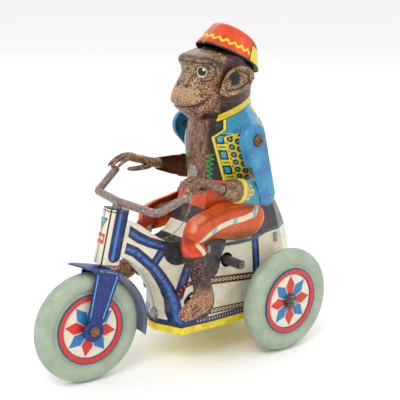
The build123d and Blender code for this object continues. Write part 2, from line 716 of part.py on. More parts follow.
def forearm(side):
    """Half round sleeve, hollow towards the body, with the hand that lies over the bar's end."""
    upper, fore = arm_angles(side)
    elbow = (UPPER_LENGTH * cos(radians(upper)), UPPER_LENGTH * sin(radians(upper)))
    limb = rotated(ARM, fore, elbow[0], elbow[1])
    sign = 1 if side == "left" else -1
    end = bar_point(BAR_GRIP[0], sign * BAR_GRIP[1], BAR_GRIP[2])
    bend = bar_point(BAR_CORNER[0], sign * BAR_CORNER[1], BAR_HEIGHT)
    end = Vector(end.X, sign * end.Y, end.Z)
    bend = Vector(bend.X, sign * bend.Y, bend.Z)
    with BuildPart() as shell:
        add(limb_form(FOREARM, limb, (1, 0), 0))
        add(limb_form(FOREARM, limb, (1, 0), TIN), mode=Mode.SUBTRACT)
        add(limb_form(HAND, limb, (1, 0), 0, half=False))
        with BuildSketch(Plane(origin=end, z_dir=bend - end)):
            Circle(BAR_R + GRIP_ROOM)
        extrude(amount=12, mode=Mode.SUBTRACT)
        with Locations(end):
            Sphere(BAR_R + GRIP_ROOM, mode=Mode.SUBTRACT)
        with BuildSketch(limb):
            Circle(ELBOW_PIN_R + RUN)
        extrude(amount=5, both=True, mode=Mode.SUBTRACT)
    return sided(shell.part.solids().sort_by(SortBy.VOLUME)[-1], side)


def rivet(plane, shank_r, head_r, low, high, head):
    """Headed pin along a plane's outward side, from low to high, with a domed head."""
    with BuildPart() as pin:
        with BuildSketch(plane.offset(-low)):
            Circle(shank_r)
        extrude(amount=low - high)
        with BuildSketch(plane.offset(-high)):
            Circle(head_r)
        extrude(amount=-head)
        rims = pin.edges().filter_by(GeomType.CIRCLE).sort_by(Axis(plane.origin, -plane.z_dir))
        fillet(rims[-1], 0.6 * head)
    return pin.part


for side in ("left", "right"):
    upper_angle = arm_angles(side)[0]
    upper_turn = radians(upper_angle)
    elbow_plane = rotated(ARM, 0, UPPER_LENGTH * cos(upper_turn), UPPER_LENGTH * sin(upper_turn))
    shoulder_rivet = rivet(ARM, SHOULDER_RIVET_R, 1.9, -3.2, ARM_TOP + 0.1, 0.8)
    keep(sided(upper_arm(upper_angle), side), side + "_upper_arm")
    keep(forearm(side), side + "_forearm")
    keep(sided(shoulder_rivet, side), side + "_shoulder_rivet")
    elbow_pin = disc(elbow_plane.offset(-ARM_LOW), ELBOW_PIN_R, ARM_LOW - ARM_TOP)
    keep(sided(elbow_pin, side), side + "_elbow_pin")


# ---------------------------------------------------------------- floor tray and folded tabs
TRAY_RIM = 1.8
tray_half = [(x, w) for x, w in FRAME_LEVELS[0][1:]]
with BuildPart() as floor_tray:
    with BuildSketch(Plane.XY.offset(FLOOR - TIN)):
        with BuildLine():
            Polyline(tray_half + [(x, -w) for x, w in reversed(tray_half)], close=True)
        make_face()
        offset(amount=0.45, kind=Kind.INTERSECTION)
    extrude(amount=TIN + TRAY_RIM)
    with BuildSketch(Plane.XY.offset(FLOOR)):
        with BuildLine():
            Polyline(tray_half + [(x, -w) for x, w in reversed(tray_half)], close=True)
        make_face()
        offset(amount=0.04, kind=Kind.INTERSECTION)
    extrude(amount=TRAY_RIM + 1, mode=Mode.SUBTRACT)
    add(FRAME_OUTER, mode=Mode.SUBTRACT)

TAB_ROOT_Y = 9.0
# Each tab: x, z, width, height and how far out it reaches.
SIDE_TABS = [(-36.3, 36.2, 1.5, 3.2, 11.0), (-7.9, 37.1, 1.4, 2.4, 9.6)]


def side_tabs(side):
    """Flat tongues that come through the housing wall and are bent over outside it."""
    with BuildPart() as tabs:
        for x, z, width, height, tip in SIDE_TABS:
            with BuildSketch(side_plane(TAB_ROOT_Y)):
                with Locations((x, z)):
                    Rectangle(width, height)
            extrude(amount=TAB_ROOT_Y - tip)
        add(FRAME_OUTER, mode=Mode.SUBTRACT)
    return sided(tabs.part, side)


with BuildPart() as seam_rivets:
    for x, z, radius in ((6.6, 16.0, 1.7), (-9.8, 60.8, 2.0)):
        with BuildSketch(Plane(origin=(x, 0, z), x_dir=(0, 1, 0), z_dir=(1, 0, 0))):
            Circle(radius)
        extrude(amount=0.9)
    add(FRAME_OUTER, mode=Mode.SUBTRACT)
    add(RIDER_OUTER, mode=Mode.SUBTRACT)

keep(floor_tray.part, "floor_tray")
keep(seam_rivets.part, "seam_rivets")
for side in ("left", "right"):
    keep(side_tabs(side), side + "_side_tabs")


# ---------------------------------------------------------------- clockwork
SHAFT_R = 0.7
ARBOR_R = 1.5
CRANK_R = 0.9
GREAT_TEETH = 40
INTER_PINION_TEETH = 10
INTER_TEETH = 34
AXLE_TEETH = 12
GOVERNOR_TEETH = 10
IDLER_TEETH = 20
CRANK_TEETH = 15
GEAR_Y = -0.2                  # great wheel, idler and crank gear lie in one layer
SECOND_Y = -3.4                # intermediate wheel and governor pinion in another
GEAR_T = 0.8


def centre_distance(first, second):
    """Distance between the shafts of two meshed gears."""
    return MODULE * (first + second) / 2


def shaft_between(start, end, from_start, from_end, above):
    """Shaft at given distances from two others, on the chosen side of the line between them."""
    gap = hypot(end[0] - start[0], end[1] - start[1])
    along = (from_start**2 - from_end**2 + gap**2) / (2 * gap)
    aside = (from_start**2 - along**2) ** 0.5 * (1 if above else -1)
    unit = ((end[0] - start[0]) / gap, (end[1] - start[1]) / gap)
    across = (-unit[1], unit[0])
    if across[1] < 0:
        across = (unit[1], -unit[0])
    return (start[0] + along * unit[0] + aside * across[0], start[1] + along * unit[1] + aside * across[1])


great_to_inter = centre_distance(GREAT_TEETH, INTER_PINION_TEETH)
great_to_idler = centre_distance(GREAT_TEETH, IDLER_TEETH)
inter_to_axle = centre_distance(INTER_TEETH, AXLE_TEETH)
idler_to_crank = centre_distance(IDLER_TEETH, CRANK_TEETH)
INTER = shaft_between(ARBOR, REAR_AXLE, great_to_inter, inter_to_axle, True)
IDLER = shaft_between(ARBOR, CRANK, great_to_idler, idler_to_crank, False)
GOVERNOR_ANGLE = radians(160)
governor_arm = centre_distance(INTER_TEETH, GOVERNOR_TEETH)
GOVERNOR = (INTER[0] + governor_arm * cos(GOVERNOR_ANGLE), INTER[1] + governor_arm * sin(GOVERNOR_ANGLE))
PILLARS = [(-38.5, 23.0), (0.2, 31.0), (-20.0, 13.9), (-29.0, 38.8)]
PILLAR_R = 1.1


def direction(start, end):
    """Angle from one shaft to another, in radians."""
    return atan2(end[1] - start[1], end[0] - start[0])


def mesh_phase(driver_phase, driver_teeth, driven_teeth, heading):
    """Phase of the driven gear whose teeth fall into the driver's gaps."""
    offset_angle = driver_phase - heading
    return heading + pi + pi / driven_teeth - offset_angle * driver_teeth / driven_teeth


def gear(centre, teeth, low_y, thickness, phase, bore):
    """Spur gear with straight flanked teeth, its axis across the toy."""
    pitch_r = MODULE * teeth / 2
    pitch = 2 * pi / teeth
    shape = [(pitch_r - 1.15 * MODULE, -0.31), (pitch_r + 0.85 * MODULE, -0.11)]
    shape += [(pitch_r + 0.85 * MODULE, 0.11), (pitch_r - 1.15 * MODULE, 0.31)]
    points = []
    for tooth in range(teeth):
        for radius, part_of_pitch in shape:
            angle = phase + (tooth + part_of_pitch) * pitch
            points.append((centre[0] + radius * cos(angle), centre[1] + radius * sin(angle)))
    with BuildPart() as body:
        with BuildSketch(side_plane(low_y)):
            with BuildLine():
                Polyline(points, close=True)
            make_face()
            with Locations(centre):
                Circle(bore, mode=Mode.SUBTRACT)
        extrude(amount=-thickness)
    return body.part


great_phase = direction(ARBOR, INTER)
inter_pinion_phase = mesh_phase(great_phase, GREAT_TEETH, INTER_PINION_TEETH, direction(ARBOR, INTER))
inter_phase = direction(INTER, REAR_AXLE)
axle_phase = mesh_phase(inter_phase, INTER_TEETH, AXLE_TEETH, direction(INTER, REAR_AXLE))
governor_phase = mesh_phase(inter_phase, INTER_TEETH, GOVERNOR_TEETH, direction(INTER, GOVERNOR))
idler_phase = mesh_phase(great_phase, GREAT_TEETH, IDLER_TEETH, direction(ARBOR, IDLER))
crank_phase = mesh_phase(idler_phase, IDLER_TEETH, CRANK_TEETH, direction(IDLER, CRANK))


MOTOR_PLATE = [(-42, FLOOR), (3, FLOOR), (3, 25), (1.5, 33.5), (-12, 37), (-26, 41), (-38, 38), (-42, 33)]
SIGHT_HOLES = [(-9.5, 27.0), (-31.0, 32.0)]


def motor_plate(low_y):
    """Side plate of the clockwork with its bearing holes and pillar seats."""
    with BuildPart() as plate:
        with BuildSketch(side_plane(low_y)):
            with BuildLine():
                Polyline(MOTOR_PLATE, close=True)
            make_face()
            for centre, radius in (
                (ARBOR, ARBOR_R),
                (REAR_AXLE, AXLE_R),
                (CRANK, CRANK_R),
                (INTER, SHAFT_R),
                (IDLER, SHAFT_R),
                (GOVERNOR, SHAFT_R),
            ):
                with Locations(centre):
                    Circle(radius + RUN, mode=Mode.SUBTRACT)
            with Locations(SIGHT_HOLES):
                Circle(2.2, mode=Mode.SUBTRACT)
        extrude(amount=-PLATE)
    return plate.part


def shaft(centre, radius, low_y, high_y):
    """Plain round shaft across the toy."""
    with BuildPart() as rod:
        with BuildSketch(side_plane(low_y)):
            with Locations(centre):
                Circle(radius)
        extrude(amount=low_y - high_y)
    return rod.part


with BuildPart() as motor_pillars:
    for pillar in PILLARS:
        add(shaft(pillar, PILLAR_R, -PLATE_Y, PLATE_Y))

outer_y = PLATE_Y + PLATE + 0.4
with BuildPart() as winding_arbor:
    add(shaft(ARBOR, ARBOR_R, -outer_y, outer_y + 0.6))
    with BuildSketch(side_plane(outer_y + 0.6)):
        with Locations(ARBOR):
            Rectangle(ARBOR_SQUARE, ARBOR_SQUARE)
            Circle(0.5 * ARBOR_SQUARE * 1.32, mode=Mode.INTERSECT)
    extrude(amount=outer_y + 0.6 - ARBOR_TIP_Y)
    add(gear(ARBOR, 12, GEAR_Y + GEAR_T + 0.3, 0.7, 0.0, 0.5))

with BuildPart() as great_wheel:
    add(gear(ARBOR, GREAT_TEETH, GEAR_Y, GEAR_T, great_phase, ARBOR_R + RUN))
    with BuildSketch(side_plane(GEAR_Y)):
        with Locations(ARBOR):
            with PolarLocations(6.2, 5):
                Circle(1.9)
    extrude(amount=-GEAR_T, mode=Mode.SUBTRACT)

with BuildPart() as click:
    with BuildSketch(side_plane(GEAR_Y + GEAR_T)):
        with Locations((ARBOR[0] + 5.4, ARBOR[1] + 4.0)):
            Circle(0.9)
        with BuildLine():
            Polyline(
                (ARBOR[0] + 5.9, ARBOR[1] + 3.4),
                (ARBOR[0] + 4.6, ARBOR[1] + 4.6),
                (ARBOR[0] + 2.4, ARBOR[1] + 3.6),
                (ARBOR[0] + 3.2, ARBOR[1] + 3.0),
                close=True,
            )
        make_face()
    extrude(amount=-0.9)

SPRING_Y = 1.9
SPRING_WIDTH = 3.2
SPRING_START = 2.5
SPRING_STEP = 0.58
SPRING_TURNS = 12              # half turns
with BuildPart() as mainspring:
    with BuildSketch(side_plane(SPRING_Y)):
        with BuildLine(mode=Mode.PRIVATE) as coil:
            for turn in range(SPRING_TURNS):
                sign = 1 if turn % 2 == 0 else -1
                start = SPRING_START + turn * SPRING_STEP
                end = start + SPRING_STEP
                radius = (start + end) / 2
                centre = sign * (start - radius)
                ThreePointArc(
                    (ARBOR[0] + sign * start, ARBOR[1]),
                    (ARBOR[0] + centre, ARBOR[1] + sign * radius),
                    (ARBOR[0] - sign * end, ARBOR[1]),
                )
        trace(coil.line, line_width=0.25)
    extrude(amount=-SPRING_WIDTH)

shaft_end = PLATE_Y + PLATE + 0.3
with BuildPart() as intermediate_wheel:
    add(gear(INTER, INTER_PINION_TEETH, GEAR_Y - 0.3, GEAR_T + 0.6, inter_pinion_phase, SHAFT_R / 2))
    add(gear(INTER, INTER_TEETH, SECOND_Y, GEAR_T, inter_phase, SHAFT_R / 2))
    add(shaft(INTER, SHAFT_R, -shaft_end, shaft_end))
    add(shaft(INTER, 1.4, SECOND_Y, GEAR_Y))

with BuildPart() as axle_pinion:
    add(gear(REAR_AXLE, AXLE_TEETH, SECOND_Y - 0.3, GEAR_T + 0.6, axle_phase, AXLE_R))

with BuildPart() as idler_wheel:
    add(gear(IDLER, IDLER_TEETH, GEAR_Y, GEAR_T, idler_phase, SHAFT_R / 2))
    add(shaft(IDLER, SHAFT_R, -shaft_end, shaft_end))

with BuildPart() as governor:
    add(gear(GOVERNOR, GOVERNOR_TEETH, SECOND_Y - 0.3, GEAR_T + 0.6, governor_phase, SHAFT_R / 2))
    add(shaft(GOVERNOR, SHAFT_R, -shaft_end, shaft_end))
    add(shaft(GOVERNOR, 4.0, 1.6, 2.6))

PEDAL_LOW = 13.0
PEDAL_HIGH = 17.3
crank_turn = radians(CRANK_ANGLE)
pedal_place = (CRANK[0] + CRANK_THROW * cos(crank_turn), CRANK[1] + CRANK_THROW * sin(crank_turn))
opposite = (CRANK[0] - CRANK_THROW * cos(crank_turn), CRANK[1] - CRANK_THROW * sin(crank_turn))
with BuildPart() as pedal_crank:
    add(gear(CRANK, CRANK_TEETH, GEAR_Y, GEAR_T, crank_phase, CRANK_R / 2))
    add(shaft(CRANK, CRANK_R, -PEDAL_LOW, PEDAL_LOW))
    for place, low in ((pedal_place, PEDAL_LOW - 0.6), (opposite, -PEDAL_LOW)):
        with BuildSketch(side_plane(low)):
            with Locations(CRANK):
                Circle(1.5)
            with Locations(place):
                Circle(1.2)
            make_hull()
        extrude(amount=-0.6)
    add(shaft(pedal_place, 0.8, PEDAL_LOW - 0.3, PEDAL_HIGH))
    add(shaft(opposite, 0.8, -PEDAL_HIGH, -PEDAL_LOW + 0.3))

for side, low in (("left", PLATE_Y), ("right", -PLATE_Y - PLATE)):
    keep(motor_plate(low), "motor_" + side + "_plate")
keep(motor_pillars.part, "motor_pillars")
keep(winding_arbor.part, "winding_arbor")
keep(great_wheel.part, "great_wheel")
keep(click.part, "click")
keep(mainspring.part, "mainspring")
keep(intermediate_wheel.part, "intermediate_wheel")
keep(axle_pinion.part, "axle_pinion")
keep(idler_wheel.part, "idler_wheel")
keep(governor.part, "governor")
keep(pedal_crank.part, "pedal_crank")
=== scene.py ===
"""Looks of a clockwork tin toy: a monkey in a fez who pedals a small three wheeled cycle.

The row frame is used throughout: +X forward, +Y to the rider's left, +Z up.  Positions are
written in millimetres and turned into metres by the builders below; lamps and floor are in metres.
"""
import json
from math import cos, exp, hypot, pi, radians, sin

import bmesh
import bpy
from mathutils import Matrix, Vector


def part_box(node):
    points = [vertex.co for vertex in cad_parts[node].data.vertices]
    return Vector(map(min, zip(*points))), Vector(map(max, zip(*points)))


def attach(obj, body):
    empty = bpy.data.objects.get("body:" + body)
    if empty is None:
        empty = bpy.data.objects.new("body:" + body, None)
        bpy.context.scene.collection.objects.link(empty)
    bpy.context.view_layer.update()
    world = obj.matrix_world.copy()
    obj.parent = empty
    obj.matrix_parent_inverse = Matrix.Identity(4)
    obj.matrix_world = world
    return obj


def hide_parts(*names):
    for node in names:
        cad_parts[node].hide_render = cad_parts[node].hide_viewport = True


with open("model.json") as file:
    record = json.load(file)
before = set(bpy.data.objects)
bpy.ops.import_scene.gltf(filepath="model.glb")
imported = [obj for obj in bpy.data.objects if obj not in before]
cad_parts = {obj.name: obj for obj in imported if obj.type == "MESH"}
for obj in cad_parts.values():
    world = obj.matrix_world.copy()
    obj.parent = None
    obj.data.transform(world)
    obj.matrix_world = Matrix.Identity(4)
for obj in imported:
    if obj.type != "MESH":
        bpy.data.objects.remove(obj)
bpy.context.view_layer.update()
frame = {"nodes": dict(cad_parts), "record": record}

MM = 0.001
COAT_SHARE = 0.4          # of the coat each finish asks for
COAT_ROUGHNESS = 0.12
SHINE = 0.3
PRINT_HEIGHT = 0.01

# ---------------------------------------------------------------- camera, light and floor
CAMERA_AT = Vector((186.84, 235.64, 134.45))
CAMERA_TO = Vector((-11.85, 0.0, 50.69))
CAMERA_ROLL = radians(0.85)
CAMERA_LENS = 88.08
# Each lamp: name, place, aim, size and power.
LAMPS = (("key", (0.35, 0.20, 0.52), (0, 0, 0.05), 0.28, 1.6),
         ("fill", (-0.25, 0.50, 0.35), (0, 0, 0.05), 0.30, 0.5),
         ("back", (-0.30, -0.40, 0.50), (0, 0, 0.06), 0.40, 0.7))
SKY_STRENGTH = 0.97
FLOOR_REACH = 3.0
FLOOR_PAPER = (0.93, 0.93, 0.93, 1)


def make_camera():
    """The photograph's camera, level but for a slight roll."""
    camera = bpy.data.objects.new("camera", bpy.data.cameras.new("camera"))
    bpy.context.collection.objects.link(camera)
    ahead = (CAMERA_TO - CAMERA_AT).normalized()
    right = ahead.cross(Vector((0, 0, 1))).normalized()
    up = right.cross(ahead)
    across = right * cos(CAMERA_ROLL) + up * sin(CAMERA_ROLL)
    above = up * cos(CAMERA_ROLL) - right * sin(CAMERA_ROLL)
    turn = Matrix((across, above, -ahead)).transposed().to_4x4()
    camera.matrix_world = Matrix.Translation(CAMERA_AT * MM) @ turn
    camera.data.lens = CAMERA_LENS
    camera.data.sensor_width = 36
    camera.data.clip_start = 0.01
    bpy.context.scene.camera = camera


def make_light(name, place, target, size, power):
    """One soft square light."""
    lamp = bpy.data.objects.new(name, bpy.data.lights.new(name, "AREA"))
    bpy.context.collection.objects.link(lamp)
    lamp.location = Vector(place)
    lamp.rotation_euler = (Vector(target) - Vector(place)).to_track_quat("-Z", "Y").to_euler()
    lamp.data.size = size
    lamp.data.energy = power


def make_studio():
    """A pale floor under a white sky with three soft lights."""
    bpy.context.scene.view_settings.view_transform = "Standard"
    world = bpy.data.worlds.new("studio")
    world.use_nodes = True
    sky = world.node_tree.nodes["Background"]
    sky.inputs["Color"].default_value = (1.0, 1.0, 1.0, 1)
    sky.inputs["Strength"].default_value = SKY_STRENGTH
    bpy.context.scene.world = world
    for lamp in LAMPS:
        make_light(*lamp)
    bed = bmesh.new()
    bmesh.ops.create_grid(bed, x_segments=8, y_segments=8, size=FLOOR_REACH)
    floor_mesh = bpy.data.meshes.new("floor")
    bed.to_mesh(floor_mesh)
    floor = bpy.data.objects.new("floor", floor_mesh)
    bpy.context.collection.objects.link(floor)
    paper = bpy.data.materials.new("floor_paper")
    paper.use_nodes = True
    shader = paper.node_tree.nodes["Principled BSDF"]
    shader.inputs["Base Color"].default_value = FLOOR_PAPER
    shader.inputs["Roughness"].default_value = 0.8
    floor_mesh.materials.append(paper)


make_camera()
make_studio()
# ---------------------------------------------------------------- node networks for printed tin
def tone(red, green, blue):
    """A colour given as screen values from 0 to 255, as linear light."""
    return tuple((v / 255 / 12.92 if v <= 10 else ((v / 255 + 0.055) / 1.055) ** 2.4)
                 for v in (red, green, blue)) + (1.0,)


class Number:
    """A number that a node gives.  Arithmetic on it adds nodes; a product of masks is where both are."""

    def __init__(self, net, socket):
        self.net = net
        self.socket = socket

    def __add__(self, other):
        return self.net.math("ADD", self, other)

    def __radd__(self, other):
        return self.net.math("ADD", other, self)

    def __sub__(self, other):
        return self.net.math("SUBTRACT", self, other)

    def __rsub__(self, other):
        return self.net.math("SUBTRACT", other, self)

    def __mul__(self, other):
        return self.net.math("MULTIPLY", self, other)

    def __abs__(self):
        return self.net.math("ABSOLUTE", self)


class Colour:
    """A printed colour that further colours are laid over."""

    def __init__(self, net, socket):
        self.net = net
        self.socket = socket

    def lay(self, mask, colour):
        """Lays another colour over this one where the mask is 1."""
        self.socket = self.net.mix(mask, self, colour).socket


class Net:
    """The node network of one material.  Plain numbers and made ones can both be given as inputs."""

    def __init__(self, name):
        self.material = bpy.data.materials.new(name)
        self.material.use_nodes = True
        self.tree = self.material.node_tree
        self.shader = self.tree.nodes["Principled BSDF"]
        place = self.tree.nodes.new("ShaderNodeTexCoord").outputs["Object"]
        self.place = self.vec("SCALE", place, scale=1 / MM)      # millimetres, row frame
        self.side = self.vec("MULTIPLY", self.place, (1, 0, 1))

    def put(self, socket, value):
        """Links what a node gives or sets a constant."""
        if isinstance(value, (Number, Colour)):
            value = value.socket
        if isinstance(value, bpy.types.NodeSocket):
            self.tree.links.new(value, socket)
        elif value is not None:
            socket.default_value = value

    def node(self, kind, *inputs, **settings):
        """A node with its settings made and its first inputs filled."""
        node = self.tree.nodes.new("ShaderNode" + kind)
        for setting, value in settings.items():
            setattr(node, setting, value)
        for socket, value in zip(node.inputs, inputs):
            self.put(socket, value)
        return node

    def math(self, op, a, b=None, clamp=False):
        """One arithmetic node."""
        return Number(self, self.node("Math", a, b, operation=op, use_clamp=clamp).outputs[0])

    def vec(self, op, a, b=None, scale=None):
        """One vector node; gives the vector or the number that the operation makes."""
        node = self.node("VectorMath", a, b, operation=op)
        if scale is not None:
            self.put(node.inputs["Scale"], scale)
        if op in ("DOT_PRODUCT", "LENGTH", "DISTANCE"):
            return Number(self, node.outputs["Value"])
        return node.outputs["Vector"]

    def axes(self):
        """The x, y and z of the place."""
        return [Number(self, output) for output in self.node("SeparateXYZ", self.place).outputs]

    def join(self, x, y, z):
        """A vector from three numbers."""
        return self.node("CombineXYZ", x, y, z).outputs[0]

    def length(self, a, b):
        """The length of a step whose two parts are given."""
        return self.vec("LENGTH", self.join(a, b, 0))

    def reach(self, start, direction):
        """How far the place lies from a start along a direction."""
        return self.vec("DOT_PRODUCT", self.vec("SUBTRACT", self.place, start), direction)

    def mix(self, factor, under, over):
        """One colour over another where the factor is 1."""
        node = self.node("Mix", factor, data_type="RGBA")
        self.put(node.inputs[6], under)
        self.put(node.inputs[7], over)
        return Colour(self, node.outputs[2])

    def noise(self, scale, detail=3.0, rough=0.55, shift=(0, 0, 0), where=None):
        """Soft noise from 0 to 1; the scale is in features per millimetre."""
        node = self.node("TexNoise", self.vec("ADD", where or self.place, shift))
        node.inputs["Scale"].default_value = scale
        node.inputs["Detail"].default_value = detail
        node.inputs["Roughness"].default_value = rough
        return Number(self, node.outputs["Fac"])

    def ramp(self, value, low, high, to_low=0.0, to_high=1.0):
        """The value mapped from one range to another and held at its ends."""
        return Number(self, self.node("MapRange", value, low, high, to_low, to_high).outputs[0])

    def specks(self, low, high, *grain, **moved):
        """1 where a noise is over the high value, 0 under the low one."""
        return self.ramp(self.noise(*grain, **moved), low, high)

    def within(self, distance, width, soft=0.10):
        """1 where the distance is under the width."""
        return self.ramp(distance, width - soft, width + soft, 1.0, 0.0)

    def beyond(self, distance, width, soft=0.10):
        """1 where the distance is over the width."""
        return self.ramp(distance, width - soft, width + soft)

    def least(self, first, *others):
        """The smallest of several numbers."""
        for other in others:
            first = self.math("MINIMUM", first, other)
        return first

    def most(self, first, *others):
        """The greatest of several numbers; of masks, where any of them is."""
        for other in others:
            first = self.math("MAXIMUM", first, other)
        return first

    def fold(self, value, half):
        """The value run up and down between 0 and half a period."""
        return self.math("PINGPONG", value, half)

    def stroke(self, where, points):
        """Distance to a line through points."""
        distances = []
        for start, end in zip(points, points[1:]):
            start, end = Vector(start), Vector(end)
            run = end - start
            offset = self.vec("SUBTRACT", where, start)
            along = self.vec("DOT_PRODUCT", offset, run / run.length_squared)
            along = self.math("ADD", along, 0.0, clamp=True)
            distances.append(self.vec("DISTANCE", offset, self.vec("SCALE", run, scale=along)))
        return self.least(*distances)

    def line(self, *points):
        """Distance in the side view to a line through x and z pairs."""
        return self.stroke(self.side, [(x, 0, z) for x, z in points])

    def dot(self, x, z):
        """Distance in the side view to a point."""
        return self.vec("DISTANCE", self.side, (x, 0, z))

    def finish(self, colour, rough, coat, bumps, metal=0.0, relief=None):
        """Sets the shader.  The roughness is given as its noise's scale and detail and its two ends,
        the bumps as pairs of scale and strength of dents; the relief stands out where it is 1."""
        self.put(self.shader.inputs["Base Color"], colour)
        scale, detail, smooth_end, rough_end = rough
        roughness = self.ramp(self.noise(scale, detail), 0.3, 0.7, smooth_end, rough_end)
        self.put(self.shader.inputs["Roughness"], roughness)
        self.shader.inputs["Metallic"].default_value = metal
        self.shader.inputs["Coat Weight"].default_value = COAT_SHARE * coat
        self.shader.inputs["Specular IOR Level"].default_value = SHINE
        self.shader.inputs["Coat Roughness"].default_value = COAT_ROUGHNESS
        heights = [self.noise(scale) * strength for scale, strength in bumps]
        if relief is not None:
            heights.append(relief * PRINT_HEIGHT)
        bump = self.node("Bump")
        bump.inputs["Distance"].default_value = MM
        self.put(bump.inputs["Height"], sum(heights[1:], heights[0]))
        self.put(self.shader.inputs["Normal"], bump.outputs[0])
        return self.material


def paint(nodes, material):
    """Gives CAD nodes a material."""
    for name in nodes.split():
        mesh = frame["nodes"][name].data
        mesh.materials.clear()
        mesh.materials.append(material)


# ---------------------------------------------------------------- colours
CREAM = tone(214, 209, 188)
NAVY = tone(18, 34, 96)
INK = tone(22, 22, 26)
RED = tone(200, 44, 32)
YELLOW = tone(218, 192, 40)
JOINTS = {joint["name"]: joint for joint in frame["record"]["behaviour"]["joints"]}
STEER_AXIS = Vector(JOINTS["steering_turn"]["axis"])
STEER_BASE = Vector(JOINTS["steering_turn"]["pos_m"]) / MM
WHEEL_AXIS = Vector(JOINTS["front_wheel_spin"]["axis"])
FRONT_HUB = Vector(JOINTS["front_wheel_spin"]["pos_m"]) / MM
REAR_HUB = Vector((-32.64, 0, 17.5))
WHEEL_AHEAD = WHEEL_AXIS.cross(STEER_AXIS)
FORWARD = Vector((1, 0, 0))
UP = Vector((0, 0, 1))
STAR_POINT = 8.9          # reach of the wheel's star, and the slope of its points
STAR_SLOPE = 1.75
DISC_RINGS = ((9.05, tone(30, 90, 140)), (9.35, RED), (10.75, tone(24, 70, 110)))


def wheel_print(name, hub, ahead, up):
    """Cream disc with a red ring and an eight pointed star in red and blue."""
    net = Net(name)
    x = net.reach(hub, ahead)
    z = net.reach(hub, up)
    radius = net.length(x, z)
    angle = net.math("ARCTAN2", x, z)
    fold = net.fold(angle, pi / 8)
    across = radius * net.math("SINE", fold)
    along = radius * net.math("COSINE", fold)
    star = net.within(along + across * STAR_SLOPE, STAR_POINT, 0.12)
    red = net.beyond(net.math("COSINE", angle * 4), 0, 0.03)
    colour = net.mix(net.specks(0.45, 0.75, 0.5, 4) * 0.35, CREAM, tone(196, 186, 156))
    colour.lay(star, net.mix(red, tone(36, 112, 168), RED))
    gap = net.within(abs(fold - pi / 8), 0.03, 0.02)
    colour.lay(gap * star, CREAM)
    for start, ring in DISC_RINGS:
        colour.lay(net.beyond(radius, start), ring)
    grime = net.within(radius, 2.9, 0.5) * net.specks(0.3, 0.6, 1.4, 4)
    colour.lay(grime, tone(60, 50, 46))
    chips = net.specks(0.66, 0.69, 1.1, 5, 0.7) * net.beyond(radius, 9.2)
    colour.lay(chips, tone(90, 70, 60))
    return net.finish(colour, (0.8, 3, 0.22, 0.4), 0.6, ((0.35, 0.12), (2.5, 0.02)), relief=star)


def rubber():
    """Slightly dirty sage green rubber."""
    net = Net("tyre_rubber")
    colour = net.mix(net.specks(0.35, 0.7, 0.18, 4, 0.6), tone(158, 172, 150), tone(138, 153, 132))
    colour.lay(net.specks(0.55, 0.75, 1.6, 5, 0.7) * 0.6, tone(112, 124, 104))
    colour.lay(net.specks(0.66, 0.7, 3.2, 3, 0.7) * 0.7, tone(96, 92, 76))
    return net.finish(colour, (1.6, 5, 0.42, 0.6), 0.5, ((0.5, 0.10), (4.0, 0.03)))


paint("front_tyre rear_left_tyre rear_right_tyre", rubber())
paint("front_wheel", wheel_print("front_wheel_print", FRONT_HUB, WHEEL_AHEAD, STEER_AXIS))
paint("rear_left_wheel rear_right_wheel", wheel_print("rear_wheel_print", REAR_HUB, FORWARD, UP))


# ---------------------------------------------------------------- print of frame and housing
def aged(net, colour, stain, chip):
    """Brown stains and small dark chips over a print."""
    cloud = net.specks(0.48, 0.75, 0.16, 5, 0.65) * stain
    colour.lay(cloud, tone(128, 104, 70))
    chips = net.specks(0.68, 0.7, 0.9, 6, 0.75, shift=(5, 3, 9)) * chip
    colour.lay(chips, tone(74, 62, 54))


def bare_seam(net, colour, wide, reach, gap, tin):
    """The dark gap between two half shells with patches of bare tin beside it."""
    gap_half, tin_half, cover = reach
    colour.lay(net.within(wide, gap_half, 0.05), gap)
    colour.lay(net.within(wide, tin_half, 0.2) * net.ramp(net.noise(1.2, 4), cover, cover + 0.15), tin)


def tube(net, colour, distance, half):
    """A printed navy tube with black outlines and a light blue shine."""
    shine = net.noise(0.7, 2)
    colour.lay(net.within(distance, half + 0.28), INK)
    colour.lay(net.within(distance, half), NAVY)
    gleam = net.within(distance, 0.36 * half, 0.25) * net.ramp(shine, 0.35, 0.6, 0.3, 1.0)
    colour.lay(gleam, tone(52, 112, 176))


def ladder(net, colour, start, end, width):
    """A printed chain: a black run with small rings and a dashed edge."""
    distance = net.line(start, end)
    run = net.within(distance, width)
    colour.lay(run, INK)
    direction = Vector((end[0] - start[0], 0, end[1] - start[1])).normalized()
    along = net.vec("DOT_PRODUCT", net.side, direction)
    step = net.fold(along, 0.75)
    ring = net.length(step, distance)
    ring = net.within(abs(ring - 0.46), 0.14, 0.05)
    colour.lay(ring * run, tone(216, 206, 170))
    dash = net.beyond(distance, 0.78 * width, 0.05) * net.within(0.75 - step, 0.28, 0.05)
    colour.lay(dash * run, tone(206, 84, 50))


